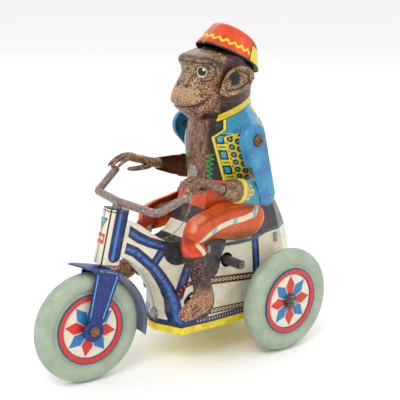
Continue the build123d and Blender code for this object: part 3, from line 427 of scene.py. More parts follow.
DOWN_TUBE = [(22.6, 42.0), (20.0, 41.2), (16.4, 39.2), (13.3, 36.2), (10.4, 33.2), (8.2, 29.9), (6.0, 25.8),
             (4.7, 22.3), (4.0, 18.0), (3.6, 14.7)]
TOP_TUBE = [(19.8, 47.0), (18.2, 46.0), (15.0, 43.4), (11.5, 41.5), (8.0, 40.1), (4.7, 39.2), (0.0, 38.6)]
TOP_LINE = [(19.2, 48.6), (15.0, 45.4), (11.4, 43.1), (7.0, 41.3), (2.0, 40.2)]
SADDLE_EDGE = [(-8.4, 29.2), (-13.6, 37.4), (-20.0, 37.4), (-27.0, 37.9), (-31.5, 38.9), (-38.0, 39.4),
               (-46.0, 38.4)]
FRAME_TUBES = (([(10.1, 35.1), (6.9, 39.2)], 1.1), ([(3.2, 23.3), (0.0, 31.0), (-1.6, 34.6)], 1.3),
               ([(-26.4, 38.6), (-26.8, 26.8)], 1.35))
SPROCKET = (-2.2, 20.7)
SPROCKET_RADIUS = 6.2
SPROCKET_TEETH = 26
BASE_BAND = 14.7           # top of the dark band along the foot of the housing
COLUMN_BASE = 19.9         # heights along the steering axis from its lower end
ROD_FOOT = 23.6
ROD_HEAD = 42.0
COLUMN_LEAD = (0.9715, 0, 0.2372)
BADGE = (26.6, 29.8)
KITE_FOOT = 30.6
SADDLE_FRONT = -13.0


def trouser_hem(net, colour, region):
    """Orange cloth with scattered light specks inside a region."""
    cloth = net.mix(net.specks(0.42, 0.62, 0.3, 4) * 0.5, tone(212, 78, 30), tone(178, 56, 22))
    specks = net.specks(0.70, 0.73, 2.6, 2, 0.7)
    cloth.lay(specks, tone(240, 190, 130))
    colour.lay(region, cloth)


def print_drive(net, colour, x, z):
    """Tubes behind the column, the chain, its sprocket and the band with ticks below them."""
    for points, half in FRAME_TUBES:
        tube(net, colour, net.line(*points), half)
    ladder(net, colour, (-5.6, 26.9), (-26.0, 25.1), 1.3)
    ladder(net, colour, (-4.6, 16.6), (-26.0, 15.6), 1.0)
    disc = net.dot(*SPROCKET)
    colour.lay(net.within(abs(disc - SPROCKET_RADIUS), 0.75), INK)
    turn = net.math("ARCTAN2", x - SPROCKET[0], z - SPROCKET[1])
    teeth = net.beyond(net.math("SINE", turn * SPROCKET_TEETH), 0.1, 0.2)
    colour.lay(net.within(abs(disc - SPROCKET_RADIUS), 0.38) * teeth, tone(214, 62, 44))
    colour.lay(net.within(disc, 3.4) * net.beyond(disc, 2.4), INK)
    band = net.within(z + x * 0.012, BASE_BAND)
    colour.lay(band, tone(34, 46, 104))
    ticks = net.within(abs(net.fold(x, 1.1) - 0.55), 0.14) * net.beyond(z, 13.5) * net.within(z, 14.3)
    colour.lay(ticks * net.within(x, -2), tone(196, 196, 190))
    return band


def print_column(net, colour, lead, height, wide):
    """Steering column: a navy rod in black on cream, with a badge and a kite on its front."""
    column = net.beyond(height, COLUMN_BASE) * net.beyond(lead, -4.4)
    colour.lay(column, CREAM)
    rod = net.stroke(net.place, [STEER_BASE + STEER_AXIS * ROD_FOOT, STEER_BASE + STEER_AXIS * ROD_HEAD])
    away = net.length(lead + 0.6, net.least(height - ROD_FOOT, 0.0))
    outside = column * net.beyond(rod, 1.3)
    colour.lay(outside * net.within(away, 2.45), INK)
    colour.lay(outside * net.within(away, 2.15), NAVY)
    gleam = net.within(abs(lead + 0.1), 0.5, 0.2)
    colour.lay(outside * net.within(away, 1.9) * gleam, tone(52, 120, 184))
    face = column * net.beyond(lead, 1.9, 0.1)
    colour.lay(face * net.within(abs(wide - 2.1), 0.16, 0.06), INK)
    peak = (height - KITE_FOOT) * 0.42 - wide
    for inset, top, fill in ((0, 34.6, INK), (0.3, 34.2, tone(70, 166, 206)), (0.85, 33.8, CREAM)):
        colour.lay(face * net.beyond(peak, inset, 0.08) * net.within(height, top), fill)
    badge = net.within(wide, 1.7) * net.beyond(height, BADGE[0]) * net.within(height, BADGE[1])
    colour.lay(face * badge, tone(206, 74, 56))
    stripe = net.within(wide, 1.3) * net.within(abs(height - 28.3), 0.45, 0.08)
    colour.lay(face * stripe, tone(224, 196, 180))
    cap = column * net.beyond(height, 36.2)
    colour.lay(cap * net.within(net.fold(height, 0.4), 0.16, 0.06), INK)


def print_saddle(net, colour, x, z):
    """Black leather saddle, its pad over the tubes, a blue-green edge and two cream studs."""
    pad = net.least(net.dot(2.6, 37.8), net.line((-7.5, 31.4), (-9.2, 36.0), (-12.0, 42.0)) + 0.6)
    nose = net.within(net.line((-9.4, 32.0), (-13.4, 38.2)), 1.6)
    seat = net.beyond(z, 38.6, 0.2) * net.within(x, SADDLE_FRONT)
    hood = net.beyond(z, 44.4) * net.within(x, 1.0) * net.beyond(net.line(*TOP_LINE), 1.6)
    leather = net.mix(net.specks(0.4, 0.65, 0.9, 4), tone(58, 58, 61), tone(36, 36, 40))
    colour.lay(net.most(net.within(pad, 4.6), nose, seat, hood), leather)
    colour.lay(net.within(net.line(*SADDLE_EDGE), 0.55) * net.within(x, SADDLE_FRONT), tone(44, 84, 92))
    for stud, radius in (((-5.6, 48.4), 1.0), ((-3.4, 45.6), 1.2)):
        colour.lay(net.within(net.dot(*stud), radius), tone(214, 206, 180))


def frame_print():
    """Cream housing with navy tubes, chain, saddle and the lower edge of the rider's trousers."""
    net = Net("frame_print")
    x, y, z = net.axes()
    wide = abs(y)
    colour = net.mix(net.specks(0.4, 0.7, 0.4, 5) * 0.5, CREAM, tone(206, 200, 172))
    height = net.reach(STEER_BASE, STEER_AXIS)
    band = print_drive(net, colour, x, z)
    front = net.beyond(x, 3.9, 0.3) * net.within(height, COLUMN_BASE)
    colour.lay(net.beyond(net.line(*DOWN_TUBE), 4.2, 0.3) * front * band, CREAM)
    colour.lay(net.within(net.line(*TOP_LINE), 0.22, 0.08), INK)
    tube(net, colour, net.line(*TOP_TUBE), 1.25)
    tube(net, colour, net.line(*DOWN_TUBE), 1.4)
    print_column(net, colour, net.reach(STEER_BASE, COLUMN_LEAD), height, wide)
    print_saddle(net, colour, x, z)
    trouser_hem(net, colour, net.beyond(z + x * 0.16, 48.6, 0.15) * net.within(x, 2.0))
    bare_seam(net, colour, wide, (0.16, 0.5, 0.45), tone(48, 44, 44), tone(168, 158, 146))
    aged(net, colour, 0.42, 0.6)
    return net.finish(colour, (0.7, 4, 0.24, 0.42), 0.5, ((0.2, 0.25), (1.4, 0.04)))


# ---------------------------------------------------------------- plain finishes
ENAMEL_ROUGHNESS = (0.9, 4, 0.26, 0.45)


def blue_enamel(name, base, deep, worn, scale=0.5):
    """Blue enamel, blotched and scratched through to the tin."""
    net = Net(name)
    colour = net.mix(net.specks(0.35, 0.65, scale, 4, 0.6), base, deep)
    grain = net.specks(0.58, 0.68, 4.2, 3, 0.7) * 0.2
    colour.lay(grain, tone(150, 190, 216))
    chips = net.specks(0.69, 0.71, 1.3, 6, 0.75)
    colour.lay(chips * worn, tone(92, 82, 78))
    return net, colour


def fork_print():
    """Royal blue fork and fender with thin light blue lines near their edges."""
    net, colour = blue_enamel("fork_blue", tone(24, 48, 122), tone(14, 30, 88), 0.8)
    x = net.reach(FRONT_HUB, WHEEL_AHEAD)
    y = abs(net.reach(FRONT_HUB, WHEEL_AXIS))
    z = net.reach(FRONT_HUB, STEER_AXIS)
    line = tone(96, 176, 220)
    flat = net.join(x, 0, z)
    leg = net.least(net.stroke(flat, [(2.2, 0, 18.0), (2.1, 0, 4.2)]),
                    net.stroke(flat, [(-4.6, 0, 18.0), (-2.3, 0, 4.2)]))
    dash = net.specks(0.35, 0.45, 2.4, 2)
    on_leg = net.beyond(y, 4.3, 0.05) * net.within(z, 17.6)
    colour.lay(net.within(leg, 0.16, 0.06) * dash * on_leg, line)
    radius = net.length(net.least(x, 0.0), z)
    guard = net.beyond(radius, 18.6, 0.1)
    trim = net.within(abs(y - 3.9), 0.14, 0.06)
    colour.lay(trim * guard * net.within(x, 2.0), line)
    rim = net.beyond(y, 4.68, 0.06) * guard
    colour.lay(rim * net.specks(0.4, 0.55, 1.0, 4), tone(150, 148, 146))
    under = net.within(radius, 18.95, 0.12)
    under = under * net.within(y, 4.05, 0.05) * net.within(radius, 19.4)
    colour.lay(under, tone(96, 96, 100))
    return net.finish(colour, ENAMEL_ROUGHNESS, 0.5, ((0.3, 0.18), (2.5, 0.03)))


def arm_print():
    """Plain sky blue upper arms."""
    net, colour = blue_enamel("arm_blue", tone(62, 140, 180), tone(36, 104, 152), 0.9, 0.22)
    dots = net.specks(0.66, 0.69, 2.0, 5, 0.8) * 0.8
    colour.lay(dots, tone(40, 66, 96))
    return net.finish(colour, ENAMEL_ROUGHNESS, 0.45, ((0.25, 0.3), (2.2, 0.04)))


def worn_metal(name, light, dark, scale, metal, rust):
    """Tinned steel gone dull, mottled with rust."""
    net = Net(name)
    colour = net.mix(net.specks(0.38, 0.62, scale, 5, 0.7), light, dark)
    spots = net.specks(0.52, 0.62, scale * 2.4, 5, 0.75) * rust
    colour.lay(spots, tone(104, 66, 54))
    bright = net.specks(0.58, 0.66, scale * 1.7, 4, 0.7, shift=(17, 5, 2)) * 0.7
    colour.lay(bright, tone(206, 198, 190))
    return net.finish(colour, (scale * 2, 4, 0.3, 0.6), 0.0, ((scale, 0.10), (scale * 3, 0.06)), metal)


def tray_print():
    """Yellow enamel with rubbed edges."""
    net = Net("tray_yellow")
    colour = net.mix(net.specks(0.4, 0.65, 0.4, 4), tone(236, 214, 36), tone(208, 184, 24))
    chips = net.specks(0.63, 0.66, 0.9, 6, 0.75)
    colour.lay(chips, tone(96, 84, 62))
    return net.finish(colour, (0.8, 3, 0.3, 0.5), 0.4, ((0.4, 0.12), (2.4, 0.03)))


paint("floor_tray", tray_print())
paint("fork fender", fork_print())
paint("left_upper_arm right_upper_arm", arm_print())
paint("handlebar", worn_metal("handlebar_tin", tone(150, 132, 124), tone(112, 90, 84), 0.8, 0.25, 0.7))
paint("seam_rivets left_side_tabs right_side_tabs steering_stem rear_axle",
      worn_metal("bright_tin", tone(176, 172, 168), tone(120, 114, 108), 1.1, 0.75, 0.3))
paint("left_shoulder_rivet right_shoulder_rivet front_axle left_elbow_pin right_elbow_pin "
      "left_knee_pin right_knee_pin",
      worn_metal("rivet_brass", tone(140, 112, 76), tone(84, 62, 44), 1.2, 0.7, 0.6))
paint("great_wheel intermediate_wheel idler_wheel governor axle_pinion motor_left_plate motor_right_plate",
      worn_metal("gear_brass", tone(186, 148, 84), tone(140, 106, 60), 0.8, 0.8, 0.3))
paint("winding_arbor pedal_crank axle_washers click mainspring motor_pillars column_bushes",
      worn_metal("dark_steel", tone(120, 112, 106), tone(66, 58, 54), 1.0, 0.7, 0.5))
paint("frame_left_shell frame_right_shell", frame_print())


# ---------------------------------------------------------------- rider: trunk, head and fez
# Each level: height, front x, cheek, side and rear flank as x and half width, back x.
RIDER_LEVELS = [
    (55.6, -9.0, (-12.9, 6.9), (-22.4, 9.8), (-32.4, 6.9), -36.5),
    (61.0, -9.4, (-12.9, 8.4), (-22.6, 11.5), (-32.6, 7.8), -36.7),
    (66.0, -9.6, (-13.0, 9.2), (-22.8, 12.9), (-32.6, 8.8), -36.8),
    (71.0, -9.3, (-12.9, 9.2), (-22.6, 13.2), (-32.2, 8.8), -36.2),
    (75.3, -9.0, (-12.8, 7.8), (-22.0, 11.6), (-31.2, 7.8), -34.9),
    (78.0, -7.4, (-11.6, 6.0), (-20.8, 9.2), (-29.4, 6.6), -33.4),
    (80.2, -4.6, (-8.0, 5.6), (-19.2, 8.3), (-28.0, 6.1), -32.2),
    (82.4, -2.6, (-5.4, 5.6), (-18.2, 8.3), (-27.2, 6.0), -31.6),
    (85.0, -2.1, (-4.4, 5.6), (-17.8, 8.7), (-27.0, 6.1), -31.2),
    (88.0, -3.0, (-4.8, 5.0), (-17.4, 9.2), (-27.0, 6.4), -31.0),
    (90.4, -4.6, (-6.6, 5.4), (-17.4, 9.5), (-27.2, 6.7), -31.2),
    (93.0, -5.9, (-8.0, 6.3), (-17.6, 9.7), (-27.4, 6.8), -31.6),
    (95.6, -6.5, (-8.0, 6.7), (-17.8, 9.6), (-27.6, 6.6), -31.8),
    (98.0, -8.0, (-9.4, 6.2), (-18.4, 9.2), (-27.6, 6.2), -31.6),
    (100.4, -13.0, (-15.6, 3.8), (-20.2, 5.2), (-24.6, 3.6), -27.0),
]
ROUND_STEPS = 144
LEVEL_STEPS = 9


def smooth(before, start, end, after, part):
    """Point between two numbers on the curve through four."""
    return start + 0.5 * part * (end - before + part * (
        2 * before - 5 * start + 4 * end - after + part * (3 * (start - end) + after - before)))


def curve(rows, parts, closed=False):
    """Rows of numbers made finer along a smooth curve."""
    fine = []
    count = len(rows)
    for index in range(count if closed else count - 1):
        near = range(index - 1, index + 3)
        four = [rows[k % count] if closed else rows[min(max(k, 0), count - 1)] for k in near]
        for part in range(parts):
            fine.append(tuple(smooth(*values, part / parts) for values in zip(*four)))
    return fine if closed else fine + [tuple(rows[-1])]


def ring_points(front, left, back):
    """Closed smooth outline of one level as x and y pairs, from the front round the left side."""
    loop = [(front, 0)] + left + [(back, 0)] + [(x, -y) for x, y in reversed(left)]
    return curve(loop, ROUND_STEPS // len(loop), closed=True)


def hill(x, z, middle_x, middle_z, reach_x, reach_z):
    """A smooth bump of height 1 in the side view."""
    return exp(-((x - middle_x) / reach_x) ** 2 - ((z - middle_z) / reach_z) ** 2)


# Height of each swelling or hollow of the stamped head, its middle as x and z, and its two reaches.
FACE_RELIEF = [
    (0.60, -9.0, 96.8, 3.4, 1.5),       # brow ridge
    (-0.95, -7.4, 93.3, 2.0, 1.7),      # eye socket
    (0.45, -7.8, 93.5, 1.0, 1.0),       # eyeball
    (0.55, -9.8, 89.4, 2.6, 2.0),       # cheek
    (-0.60, -6.3, 89.6, 1.0, 1.6),      # fold beside the muzzle
    (-0.45, -3.9, 88.9, 0.6, 0.5),      # nostril
    (0.30, -3.6, 90.2, 1.3, 0.6),       # nose
    (-0.45, -12.2, 87.0, 1.5, 6.0),     # jaw line before the ear
]
MOUTH_CORNER = -9.0
JACKET_TOP = 78.0
LAPEL_CORNER = 72.7         # height of the lapel's corner
NECK_FRONT = -12.0


def ridge(distance, half):
    """A smooth ridge of height 1 along a line at a distance."""
    return exp(-(distance / half) ** 2)


def features(x, z):
    """How far the stamping stands out of the plain form at a point, in millimetres."""
    out = sum(height * hill(x, z, *place) for height, *place in FACE_RELIEF)
    mouth = 82.3 + 0.028 * (x + 1.0) ** 2 + 0.10 * abs(x + 1.0)
    if x > MOUTH_CORNER:
        out -= 0.42 * ridge(z - mouth, 0.42) * min(1.0, (x - MOUTH_CORNER) / 1.5)
        out += 0.30 * ridge(z - mouth - 1.3, 0.9) * min(1.0, (x - MOUTH_CORNER) / 3.0)      # lip
    collar = 79.0 - 0.16 * (x + 20.0)
    out -= 0.35 * ridge(z - collar, 1.2) * (1 if x < NECK_FRONT else 0.3)
    if z < JACKET_TOP:
        lapel = -11.6 - 0.26 * (LAPEL_CORNER - z)
        out += 0.16 * ridge(x - lapel, 0.9)
    return out


def make_piece(name, form, body, material, replaced=()):
    """A finished mesh piece on a body, in place of CAD nodes; the form is given in millimetres."""
    verts, faces = form
    mesh = bpy.data.meshes.new(name)
    mesh.from_pydata([(x * MM, y * MM, z * MM) for x, y, z in verts], [], faces)
    mesh.update()
    for face in mesh.polygons:
        face.use_smooth = True
    mesh.materials.append(material)
    piece = bpy.data.objects.new(name, mesh)
    bpy.context.collection.objects.link(piece)
    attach(piece, body)
    if replaced:
        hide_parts(*replaced)


def skin(rows, flip=False):
    """Quads between closed rings of equal length; flipped where the rings run the other way."""
    count = len(rows[0])
    verts = [point for row in rows for point in row]
    faces = []
    for r in range(len(rows) - 1):
        for c in range(count):
            d = (c + 1) % count
            face = (r * count + c, r * count + d, (r + 1) * count + d, (r + 1) * count + c)
            faces.append(face[::-1] if flip else face)
    return verts, faces


def round_steps(count):
    """The angles of equal steps round a circle."""
    return [2 * pi * step / count for step in range(count)]


def oval(centre, one, other, count):
    """A ring of points about a centre; its two half axes are vectors."""
    return [tuple(centre + one * cos(angle) + other * sin(angle)) for angle in round_steps(count)]


def rider_rows():
    """Rings of the rider's surface with the stamped face and a groove along the seam."""
    flat = [[height, front, *cheek, *flank, *rear, back]
            for height, front, cheek, flank, rear, back in RIDER_LEVELS]
    rows = []
    for z, front, cx, cy, sx, sy, rx, ry, back in curve(flat, LEVEL_STEPS):
        loop = ring_points(front, [(cx, cy), (sx, sy), (rx, ry)], back)
        middle = Vector((0.5 * (front + back), 0, 0))
        ring = []
        for index, (x, y) in enumerate(loop):
            before, after = loop[index - 1], loop[(index + 1) % len(loop)]
            normal = Vector((after[1] - before[1], before[0] - after[0], 0)).normalized()
            if normal.dot(Vector((x, y, 0)) - middle) < 0:
                normal = -normal
            out = features(x, z) - 0.16 * ridge(y, 0.22)
            ring.append((x + normal.x * out, y + normal.y * out, z))
        rows.append(ring)
    return rows


FEZ_LOW = Vector((-22.3, 0, 96.4))
FEZ_TOP = Vector((-25.6, 0, 103.2))
FEZ_TILT = radians(28.4)
FEZ_UP = Vector((-sin(FEZ_TILT), 0, cos(FEZ_TILT)))
FEZ_AHEAD = Vector((cos(FEZ_TILT), 0, sin(FEZ_TILT)))
FEZ_CROWN_LEAN = 0.14
# Half length and half width at the rim and at the crown.
FEZ_RIM_SIZE = (11.7, 10.2)
FEZ_CROWN_SIZE = (7.9, 7.9)
# Steps of the fez's profile: share of the height, share of the radius between rim and crown.
FEZ_PROFILE = [(-0.02, 0.97), (0.0, 1.0), (0.05, 1.0), (0.35, 1.0), (0.65, 1.0), (0.86, 1.0), (0.93, 0.985),
               (0.975, 0.955), (1.0, 0.9), (1.012, 0.75), (1.02, 0.5), (1.024, 0.25), (1.026, 0.02)]


def fez_rows():
    """Rings of the fez from its rim to the middle of its crown; a slight dent marks each seam."""
    rows = []
    for share, reach in FEZ_PROFILE:
        wall = min(share, 1.0)
        long, wide = [reach * (rim + (crown - rim) * wall)
                      for rim, crown in zip(FEZ_RIM_SIZE, FEZ_CROWN_SIZE)]
        ring = []
        for angle in round_steps(ROUND_STEPS):
            dent = 1 - 0.012 * ridge(sin(angle), 0.035)
            point = FEZ_LOW.lerp(FEZ_TOP, share) + FEZ_AHEAD * (long * cos(angle) * dent)
            point += Vector((0, wide * sin(angle) * dent, 0))
            point += FEZ_UP * (FEZ_CROWN_LEAN * wall * long * cos(angle))
            ring.append(tuple(point))
        rows.append(ring)
    return rows


# Marks on the face: places as x, y and z, lines in the side view as x and z.
EYE = (-7.6, 5.0, 93.5)
EYE_GLINT = (-7.9, 5.6, 94.2)
NOSTRIL = (-3.9, 2.1, 88.9)
EYELID = [(-4.6, 94.6), (-6.4, 96.2), (-8.8, 96.2), (-10.6, 94.6), (-10.9, 92.6), (-9.6, 90.9), (-7.4, 90.6)]
BROW = [(-4.6, 98.6), (-8.4, 97.8), (-11.8, 95.4)]
MOUTH = [(0.0, 82.3), (-2.6, 82.55), (-5.0, 83.15), (-7.4, 84.3), (-8.6, 85.4)]
HAIR_EDGE = [(-10.5, 99), (-13.2, 95.0), (-13.6, 90.5), (-12.6, 86.0), (-10.6, 81.6), (-8.4, 79.0)]
LAPEL_START = 12.5          # how far round the jacket the lapel's corner is
JACKET_BLUE = tone(48, 150, 190)


def print_face(net, colour, x, wide, z, hair):
    """Brow, muzzle, cheek, hair line, mouth, nostril and eye."""
    colour.lay(net.within(net.line(*BROW), 0.75, 0.5) * 0.85, tone(56, 26, 22))
    colour.lay(net.within(net.dot(-2.6, 86.4), 2.6, 1.2) * 0.35, tone(206, 170, 126))
    colour.lay(net.within(net.dot(-9.8, 89.0), 1.8, 1.2) * 0.45, tone(120, 58, 40))
    behind = -12.2 + (90 - z) * 0.24 - x
    behind = net.least(behind, behind + (z - 90) * 0.34)
    ragged = behind + (net.noise(1.2, 4) - 0.5) * 2.4
    colour.lay(net.ramp(ragged, -0.9, 0.6), hair)
    edge = net.line(*HAIR_EDGE) + net.noise(1.4, 3) * 0.9
    colour.lay(net.within(edge, 0.9, 0.5) * 0.5, tone(44, 20, 18))
    colour.lay(net.within(net.line(*MOUTH), 0.42, 0.15), tone(84, 26, 22))
    place = net.join(x, wide, z)
    colour.lay(net.within(net.vec("DISTANCE", place, NOSTRIL), 0.7, 0.3), tone(20, 12, 12))
    eye = net.vec("DISTANCE", place, EYE)
    colour.lay(net.within(eye, 2.2, 0.25) * 0.8, tone(40, 24, 20))
    white = net.within(eye, 1.74, 0.1) * net.ramp(net.noise(3.0, 2), 0.3, 0.4, 0.4, 1.0)
    colour.lay(white, tone(196, 184, 140))
    colour.lay(net.within(eye, 1.42, 0.08), tone(10, 10, 12))
    colour.lay(net.within(net.vec("DISTANCE", place, EYE_GLINT), 0.45, 0.15), tone(220, 220, 220))
    colour.lay(net.within(net.line(*EYELID), 0.3, 0.15) * 0.85, tone(40, 20, 18))


def print_chest(net, colour, x, wide, z, fine, black):
    """Streaked brown chest, black at its sides, with a green zigzag below."""
    stripes = net.noise(0.9, 4, 0.7, where=net.vec("MULTIPLY", net.place, (1.0, 1.0, 0.35)))
    breast = net.mix(net.ramp(stripes, 0.4, 0.6), tone(150, 106, 82), tone(84, 48, 38))
    breast.lay(net.ramp(fine, 0.53, 0.58, 0, 0.8), tone(52, 30, 26))
    front = net.within(z, 78.2, 0.4)
    colour.lay(front, breast)
    colour.lay(front * net.beyond(wide + net.noise(0.8, 3) * 3.2, 6.6, 0.9), black)
    zigzag = net.within(abs(net.fold(z, 0.8) * 1.1 - 11.3 - x), 0.26, 0.1)
    colour.lay(zigzag * net.within(z, 67.2), tone(34, 140, 70))


def print_frogging(net, cloth, z, inside):
    """A yellow field with a row of squares and two rows of rings, from the lapel's edge inwards."""
    field = net.beyond(inside, 0.3) * net.within(z, 74.0)
    cloth.lay(net.within(inside, 10.4, 0.1) * field, INK)
    cloth.lay(net.within(inside, 4.1, 0.08) * field, YELLOW)
    from_row = net.fold(z + 27.7, 2.5)
    square = net.most(abs(inside - 2.3), from_row * 0.86) + net.noise(1.6, 2) * 0.4
    cloth.lay(net.within(square, 1.55, 0.08) * field, INK)
    cloth.lay(net.within(square, 1.02, 0.12) * field, JACKET_BLUE)
    for reach, start in ((5.5, 27.7), (7.9, 28.5)):
        ring = net.length(inside - reach, net.fold(z + start, 1.25))
        for radius, soft, fill in ((1.5, 0.08, YELLOW), (0.98, 0.08, INK), (0.46, 0.1, JACKET_BLUE)):
            cloth.lay(net.within(ring, radius, soft) * field, fill)
    dash = net.beyond(from_row, 2.22, 0.05) * net.beyond(inside, 1.2) * net.within(inside, 3.6)
    cloth.lay(dash * field, tone(24, 130, 70))


def print_jacket(net, colour, x, wide, z):
    """Blue jacket behind the lapel with frogging, loops on the back and yellow edges."""
    run = wide * 0.65 - x * 0.76           # how far round from the front seam
    lapel = run - (LAPEL_START + (LAPEL_CORNER - z) * 0.28)
    notch = net.most(run - (LAPEL_START + (z - LAPEL_CORNER) * 1.5), run - 16.2)
    inside = net.least(lapel, notch)
    over = z - (79.2 - (x + 14.0) * 0.33)
    cloud = net.specks(0.42, 0.6, 1.5, 4, 0.7) * 0.6
    cloth = net.mix(cloud, tone(40, 136, 172), tone(26, 100, 138))
    back = net.within(x, -24.6, 0.6)
    cloth.lay(back, tone(78, 156, 204))
    print_frogging(net, cloth, z, inside)
    loop = net.length((x + 30.5) * 0.55, net.fold(z + 2.0, 4.0) - 2.0)
    for half, soft, fill in ((0.42, 0.08, INK), (0.26, 0.06, YELLOW)):
        cloth.lay(net.within(abs(loop - 1.3), half, soft) * back, fill)
    cloth.lay(net.within(abs(wide - 2.2), 0.45, 0.08) * back, YELLOW)
    colour.lay(net.beyond(inside, 0, 0.05) * net.within(over, 0, 0.05), cloth)
    for half, top, fill in ((0.62, 0.2, INK), (0.42, 0.0, YELLOW)):
        colour.lay(net.within(abs(inside - 0.3), half, 0.06) * net.within(over, top), fill)
    for half, front, fill in ((1.35, -12.6, INK), (1.1, -12.9, YELLOW)):
        colour.lay(net.within(abs(over + 0.2), half, 0.06) * net.within(x, front, 0.1), fill)


def rider_print():
    """Face, hair, jacket, chest and the top of the trousers."""
    net = Net("rider_print")
    x, y, z = net.axes()
    wide = abs(y)
    colour = net.mix(net.specks(0.36, 0.62, 0.30, 4), tone(182, 140, 98), tone(132, 92, 62))
    fine = net.noise(2.0, 3, 0.75)
    colour.lay(net.ramp(fine, 0.47, 0.51), tone(44, 26, 20))
    colour.lay(net.specks(0.6, 0.64, 2.0, 2, 0.7, shift=(11, 4, 8)), tone(214, 180, 138))
    black = net.mix(net.specks(0.4, 0.7, 0.5, 3), tone(10, 8, 9), tone(26, 19, 19))
    red = net.specks(0.54, 0.58, 1.7, 3, 0.75, shift=(3, 9, 1))
    hair = net.mix(red * net.specks(0.4, 0.5, 0.25), black, tone(150, 34, 26))
    print_face(net, colour, x, wide, z, hair)
    colour.lay(net.beyond(net.reach(FEZ_LOW, FEZ_UP) + net.noise(1.0, 3) * 1.2, -1.5, 0.3), black)
    colour.lay(net.within(z, 80.8, 0.5) * net.within(x, -8.0, 0.6), hair)
    print_chest(net, colour, x, wide, z, fine, black)
    print_jacket(net, colour, x, wide, z)
    trouser_hem(net, colour, net.within(z - (x + 9) * 0.05, 58.9, 0.1) * net.beyond(x, -24.0, 0.2))
    colour.lay(net.within(z, 57.8) * net.within(x, -24.0), YELLOW)
    bare_seam(net, colour, wide, (0.15, 0.42, 0.5), tone(60, 54, 52), tone(176, 166, 152))
    aged(net, colour, 0.12, 0.5)
    return net.finish(colour, (0.8, 4, 0.22, 0.42), 0.55, ((0.5, 0.10), (2.3, 0.05)))


def fez_print():
    """Orange-red fez with a yellow zigzag and a yellow patch behind."""
    net = Net("fez_print")
    wide = net.axes()[1]
    up = net.reach(FEZ_LOW, FEZ_UP)
    ahead = net.reach(FEZ_LOW, FEZ_AHEAD)
    angle = net.math("ARCTAN2", wide, ahead + 1.6)
    colour = net.mix(net.specks(0.4, 0.65, 0.3, 4), tone(210, 72, 16), tone(186, 50, 14))
    zig = net.fold(angle, 0.115) * 10.0
    off = abs(up - 2.1 - zig)
    colour.lay(net.within(off, 0.44, 0.08) * net.within(up, 6.0), YELLOW)
    rear = abs(angle) - 1.45
    patch = net.most(rear * -9.0, up - 5.4)
    colour.lay(net.within(patch, 0.3, 0.08), INK)
    colour.lay(net.within(patch, -0.15, 0.08), YELLOW)
    rim = net.within(up, 0.45, 0.08)
    colour.lay(rim, tone(40, 26, 26))
    seam = net.within(abs(wide), 0.3, 0.08)
    colour.lay(seam, tone(150, 136, 124))
    crown = net.beyond(up, 7.6, 0.4) * net.specks(0.56, 0.62, 0.9, 5, 0.7)
    colour.lay(crown, tone(132, 104, 92))
    chips = net.specks(0.66, 0.68, 1.3, 6, 0.75)
    colour.lay(chips, tone(214, 196, 176))
    return net.finish(colour, (0.8, 3, 0.22, 0.4), 0.6, ((0.35, 0.18), (2.2, 0.03)))


make_piece("rider_body", skin(rider_rows()), "body", rider_print(),
           ["rider_left_shell", "rider_right_shell"])
make_piece("rider_fez", skin(fez_rows()), "body", fez_print())


# ---------------------------------------------------------------- ears
EAR_MIDDLE = (-16.6, 90.5)
EAR_EDGE = [(-10.6, 88.8), (-10.2, 86.9), (-12.4, 85.9), (-16.1, 86.3), (-20.2, 87.9), (-22.9, 90.3),
            (-23.4, 92.4), (-21.4, 94.6), (-17.9, 95.2), (-14.8, 94.4), (-12.4, 92.7), (-11.2, 90.6)]
# Share of the way from the middle to the edge, and height of the pressing there.
EAR_PROFILE = [(0.02, -0.55), (0.2, -0.55), (0.34, -0.35), (0.44, 0.25), (0.52, 0.35), (0.62, -0.05),
               (0.72, -0.1), (0.82, 0.5), (0.9, 0.75), (0.96, 0.6), (1.0, 0.15), (1.0, -0.2), (0.94, -0.35),
               (0.78, -0.8), (0.66, -1.8), (0.6, -3.6), (0.02, -3.8)]
EAR_CURL = [(-12.6, 90.6), (-14.2, 92.9), (-17.8, 93.6), (-20.6, 92.4), (-20.8, 90.2), (-17.6, 88.2),
            (-13.6, 87.6)]
EAR_ROOT = 9.6               # distance of the ear's root from the middle plane
EDGE_PARTS = 8               # steps between two points of a drawn edge


def ear_mesh(sign):
    """Pressed ear that stands off the head and opens forwards."""
    edge = curve(EAR_EDGE, EDGE_PARTS, closed=True)
    rows = []
    for share, height in EAR_PROFILE:
        ring = []
        for x, z in edge:
            px = EAR_MIDDLE[0] + (x - EAR_MIDDLE[0]) * share * 0.86
            pz = EAR_MIDDLE[1] + (z - EAR_MIDDLE[1]) * share
            ring.append((px, sign * (EAR_ROOT + 0.24 * (-10.0 - px) + height), pz))
        rows.append(ring)
    return skin(rows, sign < 0)


def ear_print():
    """Speckled fur, with painted shade in the ear's hollow."""
    net = Net("ear_fur")
    colour = net.mix(net.specks(0.38, 0.62, 0.4, 4), tone(178, 142, 98), tone(140, 104, 70))
    colour.lay(net.specks(0.48, 0.53, 1.7, 3, 0.75), tone(48, 30, 22))
    pale = net.noise(2.8, 2, 0.7, shift=(6, 2, 9))
    colour.lay(net.ramp(pale, 0.61, 0.66), tone(220, 190, 146))
    # Near black crescent in the ear's hollow: painted shade.
    inner = net.within(net.dot(-16.0, 91.2), 2.1, 0.3) * net.beyond(net.dot(-13.6, 89.4), 1.6, 0.3)
    colour.lay(inner, tone(20, 16, 18))
    colour.lay(net.within(net.line(*EAR_CURL), 0.35, 0.15) * 0.85, tone(30, 20, 18))
    return net.finish(colour, (0.9, 3, 0.25, 0.45), 0.5, ((0.6, 0.1), (2.4, 0.06)))


SIDES = {"left": 1, "right": -1}
EAR_FUR = ear_print()
for side, sign in SIDES.items():
    make_piece(side + "_ear_pressing", ear_mesh(sign), "body", EAR_FUR, [side + "_ear"])


